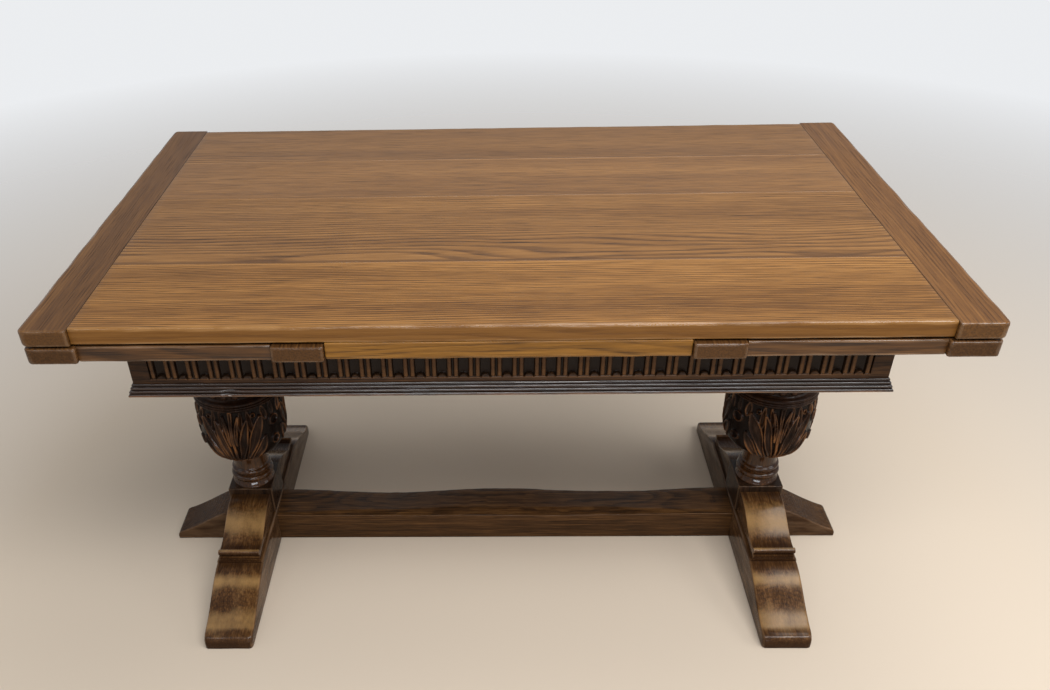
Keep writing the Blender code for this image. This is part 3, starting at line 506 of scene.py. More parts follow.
def add_top():
    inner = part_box("top_cleat_right")[0].x - GAP
    for count, cut in enumerate(BOARD_CUTS, 1):
        add_top_board(count, inner, *cut)
    for side, sign in SIDES:
        name = f"top_cleat_{side}"
        low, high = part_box(name)
        # Painted light: the left cleat is painted darker and the right one lighter, as light and
        # shade from the right
        tones = [scaled(tone, 0.82 if sign < 0 else 1.10) for tone in CLEAT_TONES]
        wood = oak(f"{name}_oak", tones, "Y", 11.0 + sign,
                   (low.x + sign * 0.11, 0.0, low.z - 0.05), 220, figure=0.09, contrast=0.58,
                   pore_depth=0.55, specular=0.28, coat_roughness=0.12, worn=GOLD_WEAR_AND_HIGHLIGHT,
                   worn_share=0.12, arris_coat=0.7, end_tone=(0.075, 0.031, 0.007),
                   bands=[("X", sign * (inner + GAP), JOINT_BAND, SEAM, 0.45)])
        arrises, plan = [CLEAT_BACK, 0.007, 0.0048, CLEAT_BACK], (0.003, 0.010)
        if sign < 0:
            arrises, plan = [0.007, CLEAT_BACK, CLEAT_BACK, 0.0048], plan[::-1]
        bar(f"{name}_board", "Y", low, high, arrises, ("top", [name], "cleat_oak", wood),
            plan=plan, end=0.004, uneven=0.0004, seed=20 + sign)


# Draw leaves and the centre board


def add_leaf(side, sign):
    body = f"leaf_{side}"
    for kind, proud in (("inner_cleat", True), ("outer_cleat", False)):
        name = f"{body}_{kind}"
        low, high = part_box(name)
        wood = oak(f"{name}_oak", LEAF_TONES, "Y", 31.0 + sign * 2 + proud,
                   (low.x + sign * 0.12, 0.0, low.z - 0.07), 220, roughness=0.32,
                   specular=0.20, coat_roughness=0.12, worn=PALE_WEAR_AND_HIGHLIGHT, worn_share=0.14,
                   arris_coat=0.6,
                   end_tone=(0.062, 0.026, 0.007) if proud else (0.050, 0.021, 0.006))
        plan = (0.004, 0.004 if proud else 0.009)[::sign]
        bar(f"{name}_board", "Y", low, high, [0.004, 0.004, 0.0035, 0.0035],
            (body, [name], "leaf_oak", wood), plan=plan, end=0.0035, uneven=0.0004,
            seed=40 + sign + proud)
    node = f"{body}_panel"
    low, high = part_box(node)
    inner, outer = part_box(f"{body}_inner_cleat"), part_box(f"{body}_outer_cleat")
    before, after = (inner, outer) if sign > 0 else (outer, inner)
    wood = oak(f"{node}_oak", LEAF_TONES, "X", 37.0 + sign, (0.0, 0.12, low.z - 0.14), 200,
               roughness=0.32, specular=0.35, coat_roughness=0.12, worn=PALE_WEAR_AND_HIGHLIGHT,
               worn_share=0.45, arris_coat=0.6)
    board = bar(f"{node}_board", "X", (before[1].x + GAP, low.y, low.z),
                (after[0].x - GAP, high.y, high.z), [0.0035, 0.0035, 0.0026, 0.0026],
                (body, [node], "leaf_oak", wood), end=0.0009, uneven=0.0003, seed=50 + sign)
    bore(board, [hole_for(name, low.z - 0.01, 0.0006, 0.0, 0.0032)
                 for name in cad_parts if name.startswith(f"{body}_screw")])


def add_centre_board():
    low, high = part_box("centre_board")
    wood = oak("centre_board_oak", EDGE_TONES, "X", 61.0, (0.0, -0.2, low.z - 0.05), 220,
               roughness=0.34, worn=GOLD_WEAR_AND_HIGHLIGHT, worn_share=0.3)
    board = bar("centre_board_plank", "X", low, high, [0.006, 0.006, 0.0015, 0.0015],
                ("frame", ["centre_board"], "edge_oak", wood), end=0.002, uneven=0.0003, seed=62)
    pegs = [f"locating_peg_{side}" for side, _ in SIDES]
    bore(board, [hole_for(peg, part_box(peg)[0].z - GAP, 0.0, GAP) for peg in pegs])


# Fluted frieze

PITCH = 0.0333
LONG_FLUTES, END_FLUTES = 33, 20
FLUTE_HALF, FLUTE_DEPTH, FLUTE_BELLY = 0.0085, 0.0058, 0.0010
FLUTE_FOOT, FLUTE_TOP = 0.0270, 0.0720
SLOT_HALF, SLOT_DEPTH = 0.0021, 0.0036
BOSS, BOSS_SUNK = 0.0066, 0.0006
RIB_HOLLOW, NICK_DEPTH = 0.0009, 0.0011
PLAIN_END = 0.0168
FIELD_LOW, FIELD_HIGH = 0.0266, 0.0735
PLAIN_SHARE, RUBBED_DEPTH = 0.55, 0.0026
NOTCH_FIELD = 0.019
NOTCH_WIDTH, NOTCH_THROUGH, NOTCH_HEIGHT = 0.034, 0.08, 0.06
# Columns over half a pitch and rows up the rail, in millimetres
FLUTE_COLUMNS = (0, 2, 4, 5.2, 6, 6.6, 7.2, 7.8, 8.2, 8.6, 9.2, 10.5, 12, 13.5, 14.3, 14.9, 15.7,
                 16.55)
RAIL_ROWS = (0, 10, 20.5, 24, 26.2, 26.8, 27.4, 28.1, 29, 30, 31, 32, 32.8, 33.4, 34.1, 35.2, 38,
             45, 53, 60, 64, 66.5, 68.5, 70, 71, 71.8, 72.4, 74.5)


def frieze_depth(u, v, index):
    """How far the carving goes in, from the place across a flute and the height on the rail."""
    hand = 1 + wander(index * 0.37, 5.0, 0.10, 9)
    over = np.clip(v - (FLUTE_TOP - FLUTE_HALF), 0.0, None)
    across = np.sqrt(u ** 2 + over ** 2) / FLUTE_HALF
    belly = FLUTE_DEPTH + FLUTE_BELLY * (1 - np.clip(across, 0, 1) ** 2)
    flute = smooth(1.0, 0.88, across) * belly * hand
    flute = flute * smooth(FLUTE_FOOT - 0.0004, FLUTE_FOOT + 0.0006, v)
    boss = np.hypot(u / (BOSS * hand), (v - FLUTE_FOOT + BOSS_SUNK) / (BOSS * hand))
    flute = flute * smooth(0.90, 1.06, boss)
    flute += BOSS_SUNK * smooth(1.06, 0.6, boss) * smooth(FLUTE_FOOT - 0.001,
                                                          FLUTE_FOOT + 0.001, v)
    aside = np.abs(np.abs(u) - PITCH / 2)
    past = np.clip(v - (FLUTE_TOP - 0.004), 0, None) + np.clip(FLUTE_FOOT + 0.0035 - v, 0, None)
    slot = smooth(1.05, 0.55, np.sqrt(aside ** 2 + past ** 2) / SLOT_HALF) * SLOT_DEPTH
    rib = np.clip((np.abs(u) - FLUTE_HALF) / (PITCH / 2 - SLOT_HALF - FLUTE_HALF), 0, 1)
    crown = RIB_HOLLOW * (2 * rib - 1) ** 2 * smooth(FLUTE_FOOT, FLUTE_FOOT + 0.002, v)
    crown = crown * smooth(FLUTE_TOP + 0.003, FLUTE_TOP - 0.002, v)
    nick = NICK_DEPTH * np.exp(-((v - FLUTE_FOOT - 0.0012) / 0.0009) ** 2)
    return flute + slot + crown + nick * smooth(0.006, 0.0088, np.abs(u))


def rail_columns(half_length, count):
    """Places along a rail, each with its place across a flute and the flute's index."""
    half = [x * MM for x in FLUTE_COLUMNS]
    period = [-x for x in reversed(half[1:])] + half
    start = -(count - 1) / 2 * PITCH
    made = [(x, PITCH, -1) for x in np.linspace(-half_length, start - PLAIN_END, 5)]
    made += [(start + k * PITCH + x, x, k) for k in range(count) for x in period]
    made += [(x, PITCH, -1) for x in np.linspace(-start + PLAIN_END, half_length, 5)]
    return made


def add_rail(name, axis, outward, count, notches=()):
    """A rail with its carved face as one closed relief. Returns its face, reach and foot."""
    low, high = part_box(name)
    along = "XY".index(axis)
    face = (low if outward < 0 else high)[1 - along]
    reach, thickness = high[along], high[1 - along] - low[1 - along]
    foot, tall = low.z, high.z - low.z
    columns = rail_columns(reach, count)
    up = np.array([v * MM for v in RAIL_ROWS] + [tall - 0.0015, tall])
    depth = np.zeros((len(columns), len(up)))
    for i, (x, u, k) in enumerate(columns):
        if k >= 0 and not any(abs(x - place) < NOTCH_FIELD for place in notches):
            depth[i] = frieze_depth(u, up, k)
    depth += np.array([unevenness([(x, v, 0.0) for v in up], 0.00025, 60, 3)
                       for x, _, _ in columns]) + 0.0003
    drift = np.array([wander(x, 8.0, 0.0005, 40) for x, _, _ in columns])
    drift[:2] = drift[-2:] = 0.0
    # Deep places are painted darker, as dirt and painted shade
    relief = np.clip(1 - depth / RUBBED_DEPTH, 0, 1)
    between = (up >= FIELD_LOW) & (up <= FIELD_HIGH)
    plain = ~np.array([between & (k >= 0) for _, _, k in columns])
    relief = np.pad(np.where(plain, relief * PLAIN_SHARE, relief), ((0, 0), (0, 2)))

    def place(x, v, inwards):
        return placed(axis, x, face - outward * inwards, foot + v)

    # Each ring goes up the carved face and down the flat back
    heights = (*up, tall, 0.0)
    points = [place(column[0] + shift, v, inwards)
              for column, shift, row in zip(columns, drift, depth)
              for v, inwards in zip(heights, (*row, thickness, thickness))]
    faces = ring_faces(len(columns), len(heights))
    # The carving's deep places take a colour of dirt and painted shade, and its ribs a rubbed
    # colour
    wood = oak(f"{name}_oak", FRIEZE_TONES, axis, 71.0 + face, (0, 0, foot - 0.1), 240,
               specular=0.15, hollow_dirt_and_shade=(0.014, 0.007, 0.0035), ridge_rub_and_sheen=(0.118, 0.051, 0.016))
    piece = make_piece(f"{name}_carved", points, faces, ("frame", [name], "carved_oak", wood),
                       relief=relief, sharp=50)
    if notches:
        shape = bmesh.new()
        bearer_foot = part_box("leaf_left_bearer_wide")[0].z - GAP - foot
        size = placed(axis, NOTCH_WIDTH, NOTCH_THROUGH, NOTCH_HEIGHT)
        for centre in notches:
            at = Matrix.Translation(place(centre, bearer_foot + NOTCH_HEIGHT / 2, 0.0))
            bmesh.ops.create_cube(shape, matrix=at @ Matrix.Diagonal((*size, 1.0)))
        cut_with(piece, shape)
    return face, reach, foot


# The moulding's section, in millimetres out and up, and where its arrises are worn
MOULDING = ((0, 0), (7.2, 0), (8.2, 0.6), (8.6, 1.8), (8.5, 3.2), (7.8, 4.4), (6.6, 5.0),
            (4.6, 5.3), (4.5, 5.8), (6.2, 6.4), (6.8, 8.0), (6.2, 9.6), (4.8, 10.4), (2.6, 10.7),
            (2.5, 11.2), (4.0, 11.9), (4.4, 13.6), (3.8, 15.0), (2.6, 15.6), (0.8, 16.0),
            (0.8, 16.6), (1.8, 17.2), (2.2, 18.7), (1.4, 20.1), (0, 20.5))
MOULDING_WEAR = {0: 0.5, 1: 0.9, 2: 1, 3: 0.9, 4: 0.3, 10: 0.15, 16: 0.1, 22: 0.1}
CHIP_PLACE, CHIP_HALF, CHIP_DEPTH = -0.425, 0.010, 0.0022


def add_moulding(name, axis, outward, face, run, foot, chipped=False):
    """Reeded moulding, mitred at both ends, with the wear of its arrises."""
    rings = []
    count = int(2 * run / 0.006)
    for i in range(count + 1):
        share = -1 + 2 * i / count
        ring = []
        for k, (depth, height) in enumerate(MOULDING):
            worn = wander(share * run, 3.0 + k * 0.07, 0.00025, 14) if 0 < depth else 0.0
            if chipped and depth > 3:
                near = math.exp(-((share * run - CHIP_PLACE) / CHIP_HALF) ** 2)
                worn -= near * CHIP_DEPTH * (1 if 2 < height < 11 else 0.2)
            across = face + outward * (GAP + max(depth * MM + worn, 0.0))
            ring.append(placed(axis, share * (run + depth * MM), across, foot + height * MM))
        rings.append(ring)
    wood = oak(f"{name}_oak", MOULDING_TONES, axis, 81.0 + face, (0, 0, foot - 0.1), 240,
               roughness=0.22, specular=0.5, coat=0.35, coat_roughness=0.10,
               worn=(0.20, 0.080, 0.024), worn_share=0.8)
    wear = [MOULDING_WEAR.get(k, 0.0) for k in range(len(MOULDING))] * len(rings)
    make_piece(f"{name}_reeded", np.array(rings).reshape(-1, 3),
               ring_faces(len(rings), len(MOULDING)), ("frame", [name], "carved_oak", wood),
               wear=wear, sharp=50)


def add_frame():
    for row, outward in ROWS:
        face, run, foot = add_rail(f"rail_{row}", "X", outward, LONG_FLUTES)
        add_moulding(f"moulding_{row}", "X", outward, face, run, foot, row == "front")
    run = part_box("rail_back")[1].y
    for side, sign in SIDES:
        bearers = [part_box(f"leaf_{side}_bearer_{kind}") for kind in ("wide", "narrow")]
        notches = [(at.y + to.y) / 2 for at, to in bearers]
        face, _, foot = add_rail(f"rail_{side}", "Y", sign, END_FLUTES, notches)
        add_moulding(f"moulding_{side}", "Y", sign, face, run, foot)


# Turned and carved columns. Profiles are heights and radii in millimetres

CUP_FOOT, CUP_WIDEST, CUP_RADIUS = 0.229, 0.325, 0.0912
CUP_COUNT, COVER_COUNT, RING_COUNT = 480, 336, 128
LOWER_TURNING = (
    (146, 44), (149.6, 44.1), (150.6, 42.5), (153, 41.8), (156, 39.8), (158.8, 39.2),
    (159.8, 40.5), (161.5, 43), (164, 44.2), (166.5, 44.5), (169, 44.2), (171.5, 43),
    (173.3, 40.5), (174.2, 38), (176.8, 37.6), (177.7, 38.5), (179, 40.2), (180.8, 41.2),
    (182.5, 41.5), (184.2, 41.2), (186, 40.2), (187.3, 38.5), (188.2, 36.8), (193, 35.6),
    (200, 34.8), (208, 34.4), (215, 34.6), (222, 35.3), (227.5, 36.2), (231, 36.6))
RIM_TURNING = (
    (372.5, 80), (373.2, 86.2), (374, 87.4), (375.7, 88), (377.4, 87.3), (378.1, 86),
    (378.7, 86), (379.3, 87.2), (380.8, 87.9), (382.3, 87.1), (383, 85.3), (383.8, 85.3),
    (384.6, 86.8), (386.2, 87.6), (388, 87.4), (389.8, 86.2), (391.2, 83.6), (392.2, 79.5),
    (394.5, 77.2), (414, 77.2), (415.2, 78), (416.5, 80.6), (425, 80.6), (438, 78.2),
    (450, 73.8), (462, 67.2), (473, 59.2), (483, 50.8), (492, 43.2), (498, 40))
CAP_TURNING = (
    (496.5, 40), (501, 38.8), (508, 38.3), (518, 38.6), (522.2, 39.5), (523.2, 41.5),
    (525.2, 44.5), (527.6, 46), (530, 46.5), (532.4, 46), (534.8, 44.5), (536.8, 41.5),
    (537.8, 39.5), (544, 39.2), (547.4, 42))
PLINTH_TOP, CAPITAL_FOOT, BLOCK_HALF = 0.1460, 0.5474, 0.047
# The cup's leaves: a line in degrees and height, half widths along it, and a level
LEAF_PITCH = math.radians(120)
GROUND = -0.0050
LOBES = (
    (((26, 318), (25, 344), (23.5, 370)), (4.0, 6.6, 3.2), -0.0026),
    (((12, 325), (13, 348), (14, 371)), (3.4, 5.2, 3.0), -0.0024),
    (((60, 346), (60, 358), (60, 371)), (4.0, 6.0, 3.0), -0.0026),
    (((47.5, 343), (46, 356), (43.5, 371)), (4.0, 7.6, 3.0), -0.0018),
    (((19, 231), (29, 255), (37, 277), (43.5, 299)), (4.5, 9.0, 11.0, 4.5), -0.0014),
    (((18, 254), (22.5, 273), (28, 291)), (3.0, 4.6, 2.8), -0.0012),
    (((12, 237), (22, 281), (30, 311), (40, 348)), (4.5, 8.6, 13.0, 5.5), -0.0007),
    (((4.0, 237), (9.5, 275), (14, 309), (20.5, 350)), (4.0, 7.2, 9.2, 3.8), -0.0003),
    (((4.0, 294), (6.0, 329), (10, 361)), (2.4, 4.6, 2.8), -0.0002),
    (((0, 233), (0, 298), (0, 370)), (3.3, 3.3, 5.0), 0.0),
)
# Eyes between the leaves: an angle in degrees, a height, a radius and a thickness
EYES = ((60.0, 0.2812, 0.0094, 0.0021), (60.0, 0.3295, 0.0112, 0.0021),
        (31.3, 0.3580, 0.0044, 0.0014))
STUDS, RIBS = 21, 24
STUD_HEIGHT, STUD_RADIUS, STUD_ROUND = 0.0036, 0.0062, 0.077
DRUM_LOW, DRUM_MIDDLE, DRUM_HIGH = 0.3946, 0.4042, 0.4139
DOME_LOW, DOME_HIGH = 0.4160, 0.4965


def cup_outline():
    """Radius and height up the carved cup, at even steps, and the length along its curve."""
    coarse = [(0.0355, 0.2272), (0.0385, 0.2286)]
    for k in range(61):
        angle = math.radians(77 - 77 * k / 60)
        coarse.append((CUP_RADIUS * math.sqrt(math.cos(angle)),
                       CUP_WIDEST - (CUP_WIDEST - CUP_FOOT) * math.sqrt(math.sin(angle))))
    coarse += [(0.0908, 0.338), (0.0899, 0.352), (0.0887, 0.364), (0.0874, 0.3735)]
    line = np.array(coarse)
    run = np.concatenate([[0.0], np.cumsum(np.linalg.norm(np.diff(line, axis=0), axis=1))])
    even = np.linspace(0.0, run[-1], int(run[-1] / 0.0011))
    return np.interp(even, run, line[:, 0]), np.interp(even, run, line[:, 1]), even


def lobe_distance(theta, run, radius, line, halves, run_at):
    """How far outside a lobe's edge each point lies, the same as a share of its half width,
    and the place along the lobe."""
    share = np.linspace(0, 1, 22)
    knots = np.linspace(0, 1, len(line))

    def curve(values):
        return np.polyval(np.polyfit(knots, values, len(line) - 1), share)

    angles = np.radians(curve([a for a, _ in line]))
    runs = run_at(curve([z for _, z in line]) / 1000)
    widths = curve(halves) / 1000
    best, gap, along = (np.full(theta.shape, value) for value in (9.0, 1.0, 0.0))
    for k in range(len(share) - 1):
        x, y = (theta - angles[k]) * radius, run - runs[k]
        step_x, step_y = (angles[k + 1] - angles[k]) * radius, runs[k + 1] - runs[k]
        part = np.clip((x * step_x + y * step_y) / (step_x ** 2 + step_y ** 2), 0, 1)
        width = widths[k] + (widths[k + 1] - widths[k]) * part
        distance = np.hypot(x - part * step_x, y - part * step_y) / width
        closer = distance < best
        best[closer] = distance[closer]
        gap[closer] = ((distance - 1) * width)[closer]
        along[closer] = (share[k] + part * (share[1] - share[0]))[closer]
    return gap, best, along


def carve_cup(theta, run, radius, run_at):
    """Depth and tint of three leaves of curling lobes, with eyes and buds between."""
    theta = np.abs(np.mod(theta + LEAF_PITCH / 2, LEAF_PITCH) - LEAF_PITCH / 2)
    height, tint = np.full(theta.shape, GROUND), np.zeros(theta.shape)
    for angle, z, size, thick in EYES:
        distance = np.hypot((theta - math.radians(angle)) * radius, run - run_at(z))
        ring = np.exp(-((distance - size) / thick) ** 2)
        height = np.maximum(height, GROUND + 0.0042 * ring)
        height = np.where(distance < size - thick * 0.8, GROUND - 0.0006, height)
        tint = np.maximum(tint, ring * 0.9)
    for line, halves, level in LOBES:
        gap, distance, along = lobe_distance(theta, run, radius, line, halves, run_at)
        inside = smooth(0.0013, -0.0015, gap)
        dish = smooth(-0.0016, -0.0062, gap)
        vein = np.exp(-(distance / 0.12) ** 2) * smooth(0.95, 0.6, along) * (max(halves) > 7)
        curl = 0.0006 * smooth(0.7, 1.0, along) - 0.0010 * smooth(0.3, 0.0, along)
        lobe = level + curl - 0.0040 * dish + 0.0008 * vein
        rim = smooth(-0.0050, -0.0024, gap) * smooth(0.0010, -0.0004, gap)
        edge = (0.52 if level > -0.002 else 0.32) * rim
        height = height * (1 - inside) + lobe * inside
        tint = tint * (1 - inside) + (0.33 + edge + 0.20 * vein) * inside
    return np.minimum(height, 0.0) * fade_ends(run, run.max()), np.clip(tint, 0, 1)


def fade_ends(run, last):
    return smooth(0.0, 0.008, run) * smooth(last, last - 0.0045, run)


def turned(name, side, centre, radii, heights, count, material, depth=None, relief=None):
    """One closed turning about a column's axis, pushed in along its surface by the carving."""
    theta = np.linspace(0, 2 * math.pi, count, endpoint=False)
    rise, out = np.gradient(heights), np.gradient(radii)
    length = np.hypot(rise, out)
    depth = np.zeros((len(heights), count)) if depth is None else depth
    radius = radii[:, None] + (rise / length)[:, None] * depth
    height = heights[:, None] + (-out / length)[:, None] * depth
    points = np.stack([centre + radius * np.cos(theta), radius * np.sin(theta), height], -1)
    make_piece(f"column_{side}_{name}", points.reshape(-1, 3), ring_faces(len(heights), count),
               ("frame", [f"column_{side}"], "carved_oak", material), relief=relief, sharp=60)


def close_rows(profile, spacing):
    """A turning's radii and heights, with rows added wherever they are far apart."""
    line = np.array([(r * MM, z * MM) for z, r in profile])
    rows = np.array(split(line, spacing) + [line[-1]])
    return rows[:, 0], rows[:, 1]


def add_cup(side, sign, centre, carved):
    radii, heights, run = cup_outline()
    turns = np.linspace(0, 2 * math.pi, CUP_COUNT, endpoint=False)
    theta, grid_run = np.meshgrid(turns, run)
    radius = np.repeat(radii[:, None], CUP_COUNT, 1)
    flat = np.stack([centre + radius * np.cos(theta), radius * np.sin(theta), grid_run], -1)

    def sway(size, rate, seed):
        return unevenness(flat.reshape(-1, 3), size, rate, seed + sign).reshape(theta.shape)

    turned_by, lift = sway(0.0030, 28, 2.0), sway(0.0030, 26, 5.0)
    depth, tint = carve_cup(theta + math.pi / 2 + turned_by / radius, grid_run + lift, radius,
                            lambda z: np.interp(z, heights, run))
    rough = sway(0.0003, 120, 8.0) - 0.0003
    tint = np.clip(tint * (0.80 + sway(0.75, 34, 9.0)), 0, 1)
    turned("cup", side, centre, radii, heights, CUP_COUNT, carved,
           depth + rough * fade_ends(grid_run, run[-1]), tint)


def add_cover(side, centre, carved):
    """The cup's rim, a drum with studs and a ribbed dome."""
    radii, heights = close_rows(RIM_TURNING, 0.0016)
    turns = np.linspace(0, 2 * math.pi, COVER_COUNT, endpoint=False)
    theta, grid_z = np.meshgrid(turns, heights)
    depth, tint = np.zeros(theta.shape), np.full(theta.shape, 0.30)
    aside = np.mod(theta * STUDS / (2 * math.pi), 1.0) - 0.5
    apart = np.hypot(aside * 2 * math.pi * STUD_ROUND / STUDS, grid_z - DRUM_MIDDLE)
    drum = (grid_z > DRUM_LOW) & (grid_z < DRUM_HIGH)
    stud = STUD_HEIGHT * np.sqrt(np.clip(1 - (apart / STUD_RADIUS) ** 2, 0, 1))
    depth[drum] = (stud - 0.0014 * smooth(STUD_RADIUS, 0.0078, apart))[drum]
    tint[drum] = np.where(apart < 0.0058, 0.50, 0.22)[drum]
    dome = (grid_z > DOME_LOW) & (grid_z < DOME_HIGH)
    lobe = np.abs(np.sin(theta * RIBS / 2))
    fade = smooth(DOME_LOW, 0.4260, grid_z) * smooth(DOME_HIGH, 0.4860, grid_z)
    depth[dome] = (-0.0034 * (1 - lobe ** 0.55) * fade)[dome]
    tint[dome] = (0.10 + 0.75 * lobe * fade)[dome]
    turned("cover", side, centre, radii, heights, COVER_COUNT, carved, depth, tint)


def add_column(side, sign):
    low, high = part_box(f"column_{side}")
    centre = (low.x + high.x) / 2
    # The carving's deep ground is painted dark, as dirt and painted shade, and its raised rims
    # take a rubbed colour
    carved = oak(f"column_{side}_carved_oak", CARVED_TONES, "Z", 91.0 + sign,
                 (centre, 0.01, 0.0), 140, pore_depth=0.35, roughness=0.28, specular=0.08,
                 coat=0.38, coat_roughness=0.12, hollow_dirt_and_shade=(0.007, 0.0036, 0.0026),
                 ridge_rub_and_sheen=(0.205, 0.078, 0.019))
    plain = oak(f"column_{side}_turned_oak", TURNED_TONES, "Z", 97.0 + sign,
                (centre, 0.01, 0.0), 140, figure=0.04, pore_depth=0.35, roughness=0.24,
                specular=0.06, coat=0.60, coat_roughness=0.05)
    add_cup(side, sign, centre, carved)
    turned("ring", side, centre, *close_rows(LOWER_TURNING, 0.003), RING_COUNT, plain)
    add_cover(side, centre, carved)
    turned("cap", side, centre, *close_rows(CAP_TURNING, 0.003), RING_COUNT, plain)
    block = oak(f"column_{side}_block_oak", BLOCK_TONES, "Z", 95.0 + sign,
                (centre + 0.02, 0.01, 0.0), 150, roughness=0.28, specular=0.1, coat=0.15,
                worn=PALE_WEAR_AND_HIGHLIGHT, worn_share=0.3)
    foot_top, rail_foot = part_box(f"foot_{side}")[1].z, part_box("rail_front")[0].z
    for name, start, stop, seed in (("plinth", foot_top + GAP, PLINTH_TOP, 3),
                                    ("capital", CAPITAL_FOOT, rail_foot - GAP, 5)):
        bar(f"column_{side}_{name}", "Z", (centre - BLOCK_HALF, -BLOCK_HALF, start),
            (centre + BLOCK_HALF, BLOCK_HALF, stop), [0.0018] * 4,
            ("frame", [f"column_{side}"], "carved_oak", block), end=0.0018,
            seed=seed + sign, spacing=0.01)


# Sledge feet, brackets and outriggers

FOOT_FLAT = 0.201
TOE_ROUND = 0.009
# The front of a toe, in millimetres back from the tip and up
FOOT_TOE = ((1, 0), (0, 1.2), (0, 11), (0.4, 14), (1.4, 17), (3, 20), (5.4, 23), (8.6, 25.3))
OUTRIGGER_TOE = ((1, 0), (0, 1), (0, 8), (0.6, 11.2), (2, 14.2), (4.2, 16.7), (7.2, 18.8))
OUTRIGGER_LOW, OUTRIGGER_HIGH = 0.0185, 0.078
BEAD_RADIUS, BEAD_HEIGHT = 0.006, 0.098
BRACKET_BLOCK, BRACKET_TOE, BRACKET_TOP = 0.0473, 0.1995, 0.132
# The cove and fillet under a bracket's bead, in millimetres back from the toe and up
BRACKET_COVE = ((4.2, 93.2), (4.6, 91.2), (4.2, 89.2), (2.6, 88.6), (0, 88.4), (0, 85),
                (1.2, 84.4), (1.2, 83.8), (0, 83.2))


def foot_wood(name, axis, seed, heart, rings=240, shade=1.0):
    # Hollows painted dark as dirt and painted shade, rubbed gold with a painted sheen, and side
    # faces painted darker than faces turned up
    return oak(name, [scaled(tone, shade) for tone in FOOT_TONES], axis, seed, heart, rings,
               figure=0.04, contrast=1.0, pore_depth=0.45, roughness=0.25, specular=0.07,
               coat=0.75 if shade == 1.0 else 0.10, coat_roughness=0.15, worn=PALE_WEAR_AND_HIGHLIGHT,
               worn_share=0.35 * shade, arris_coat=0.25, hollow_dirt_and_shade=(0.026, 0.011, 0.005),
               ridge_rub_and_sheen=scaled(FOOT_RUB_AND_SHEEN, shade), ridge_share=0.68, tops_lit_sides_shaded=True, mottled=0.75,
               patch=(16.0, 30.0))


def back_from(tip, points):
    return [(tip - x * MM, z * MM) for x, z in points]


def rub_sheen_and_shade(y, dark, light, *humps):
    """A tint that differs from back to front, darker at the back as painted shade under the top,
    with humps of a strength, place and half width: rubbed gold with a painted sheen, painted
    highlights and dips of painted shade.
    """
    tint = np.where(y > 0, dark, light)
    for strength, place, half in humps:
        tint = tint + strength * np.exp(-((np.abs(y) - place) / half) ** 2)
    return np.clip(tint, 0, 1)


def foot_rub_sheen_and_shade(y, z):
    # Gold bands of rubbed wood with a painted sheen, and a dip of painted shade at the foot of the
    # bracket
    return rub_sheen_and_shade(y, 0.26, 0.42, (0.50, 0.243, 0.013), (0.40, 0.318, 0.018),
                       (0.25, 0.334, 0.007), (-0.15, 0.206, 0.012))


def bracket_rub_sheen_and_shade(y, z):
    # Rubbed gold with a painted sheen, dips of painted shade by the block and before the bead, and
    # a painted highlight along the top of the bead
    return rub_sheen_and_shade(y, 0.16, 0.36, (0.58, 0.122, 0.026), (0.16, 0.085, 0.020),
                       (-0.20, 0.055, 0.012), (0.45 * (z > 0.0985), 0.1935, 0.005),
                       (-0.24, 0.178, 0.008))


def add_foot(side, sign):
    low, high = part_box(f"foot_{side}")
    tip = high.y
    right = back_from(tip, FOOT_TOE)
    right += ogee((tip - 0.013, 0.0270), (FOOT_FLAT, high.z - 0.004), 28, 0.30)
    right += [(FOOT_FLAT, high.z)]
    outline = finer(np.array(right + [(-y, z) for y, z in reversed(right)]))
    wood = foot_wood(f"foot_{side}_oak", "Y", 101.0 + sign, (low.x + 0.03, 0.0, -0.30))

    def round_toes(points):
        near = np.clip(np.minimum(points[:, 0] - low.x, high.x - points[:, 0]), 0, TOE_ROUND)
        draw = TOE_ROUND - np.sqrt(TOE_ROUND ** 2 - (TOE_ROUND - near) ** 2)
        draw *= smooth(tip - 0.030, tip - 0.010, np.abs(points[:, 1]))
        points[:, 1] -= np.sign(points[:, 1]) * draw
        return points

    prism(f"foot_{side}_sledge", "X", low.x, high.x, outline, 0.0034,
          ("frame", [f"foot_{side}"], "foot_oak", wood), 0.0005, 6 + sign, foot_rub_sheen_and_shade, round_toes)


def bracket_outline(foot_top):
    """Side view of a scroll bracket: a long ogee down to a bead, then a cove and a fillet."""
    bead, bead_z = BRACKET_TOE - BEAD_RADIUS, BEAD_HEIGHT + 0.0008
    line = [(BRACKET_BLOCK, foot_top + GAP), (BRACKET_BLOCK, BRACKET_TOP)]
    line += ogee((BRACKET_BLOCK + 0.018, BRACKET_TOP), (bead - BEAD_RADIUS - 0.008, BEAD_HEIGHT),
                 26)
    line += [(bead - BEAD_RADIUS - 0.002, BEAD_HEIGHT - 0.0006), (bead - BEAD_RADIUS, bead_z)]
    for k in range(1, 15):
        angle = math.radians(180 - 225 * k / 15)
        line.append((bead + BEAD_RADIUS * math.cos(angle), bead_z + BEAD_RADIUS * math.sin(angle)))
    return line + back_from(BRACKET_TOE, BRACKET_COVE) + [(BRACKET_TOE, foot_top + GAP)]


def add_bracket(side, sign, row, outward):
    name = f"bracket_{row}_{side}"
    low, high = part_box(name)
    line = bracket_outline(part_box(f"foot_{side}")[1].z)
    outline = np.array([(outward * y, z) for y, z in line][::-outward])
    wood = foot_wood(f"{name}_oak", "Y", 111.0 + sign + outward * 3, (low.x + 0.05, 0.0, -0.25),
                     330)
    prism(f"{name}_scroll", "X", low.x, high.x, finer(outline), 0.0013,
          ("frame", [name], "foot_oak", wood), 0.0003, 8 + sign, bracket_rub_sheen_and_shade)


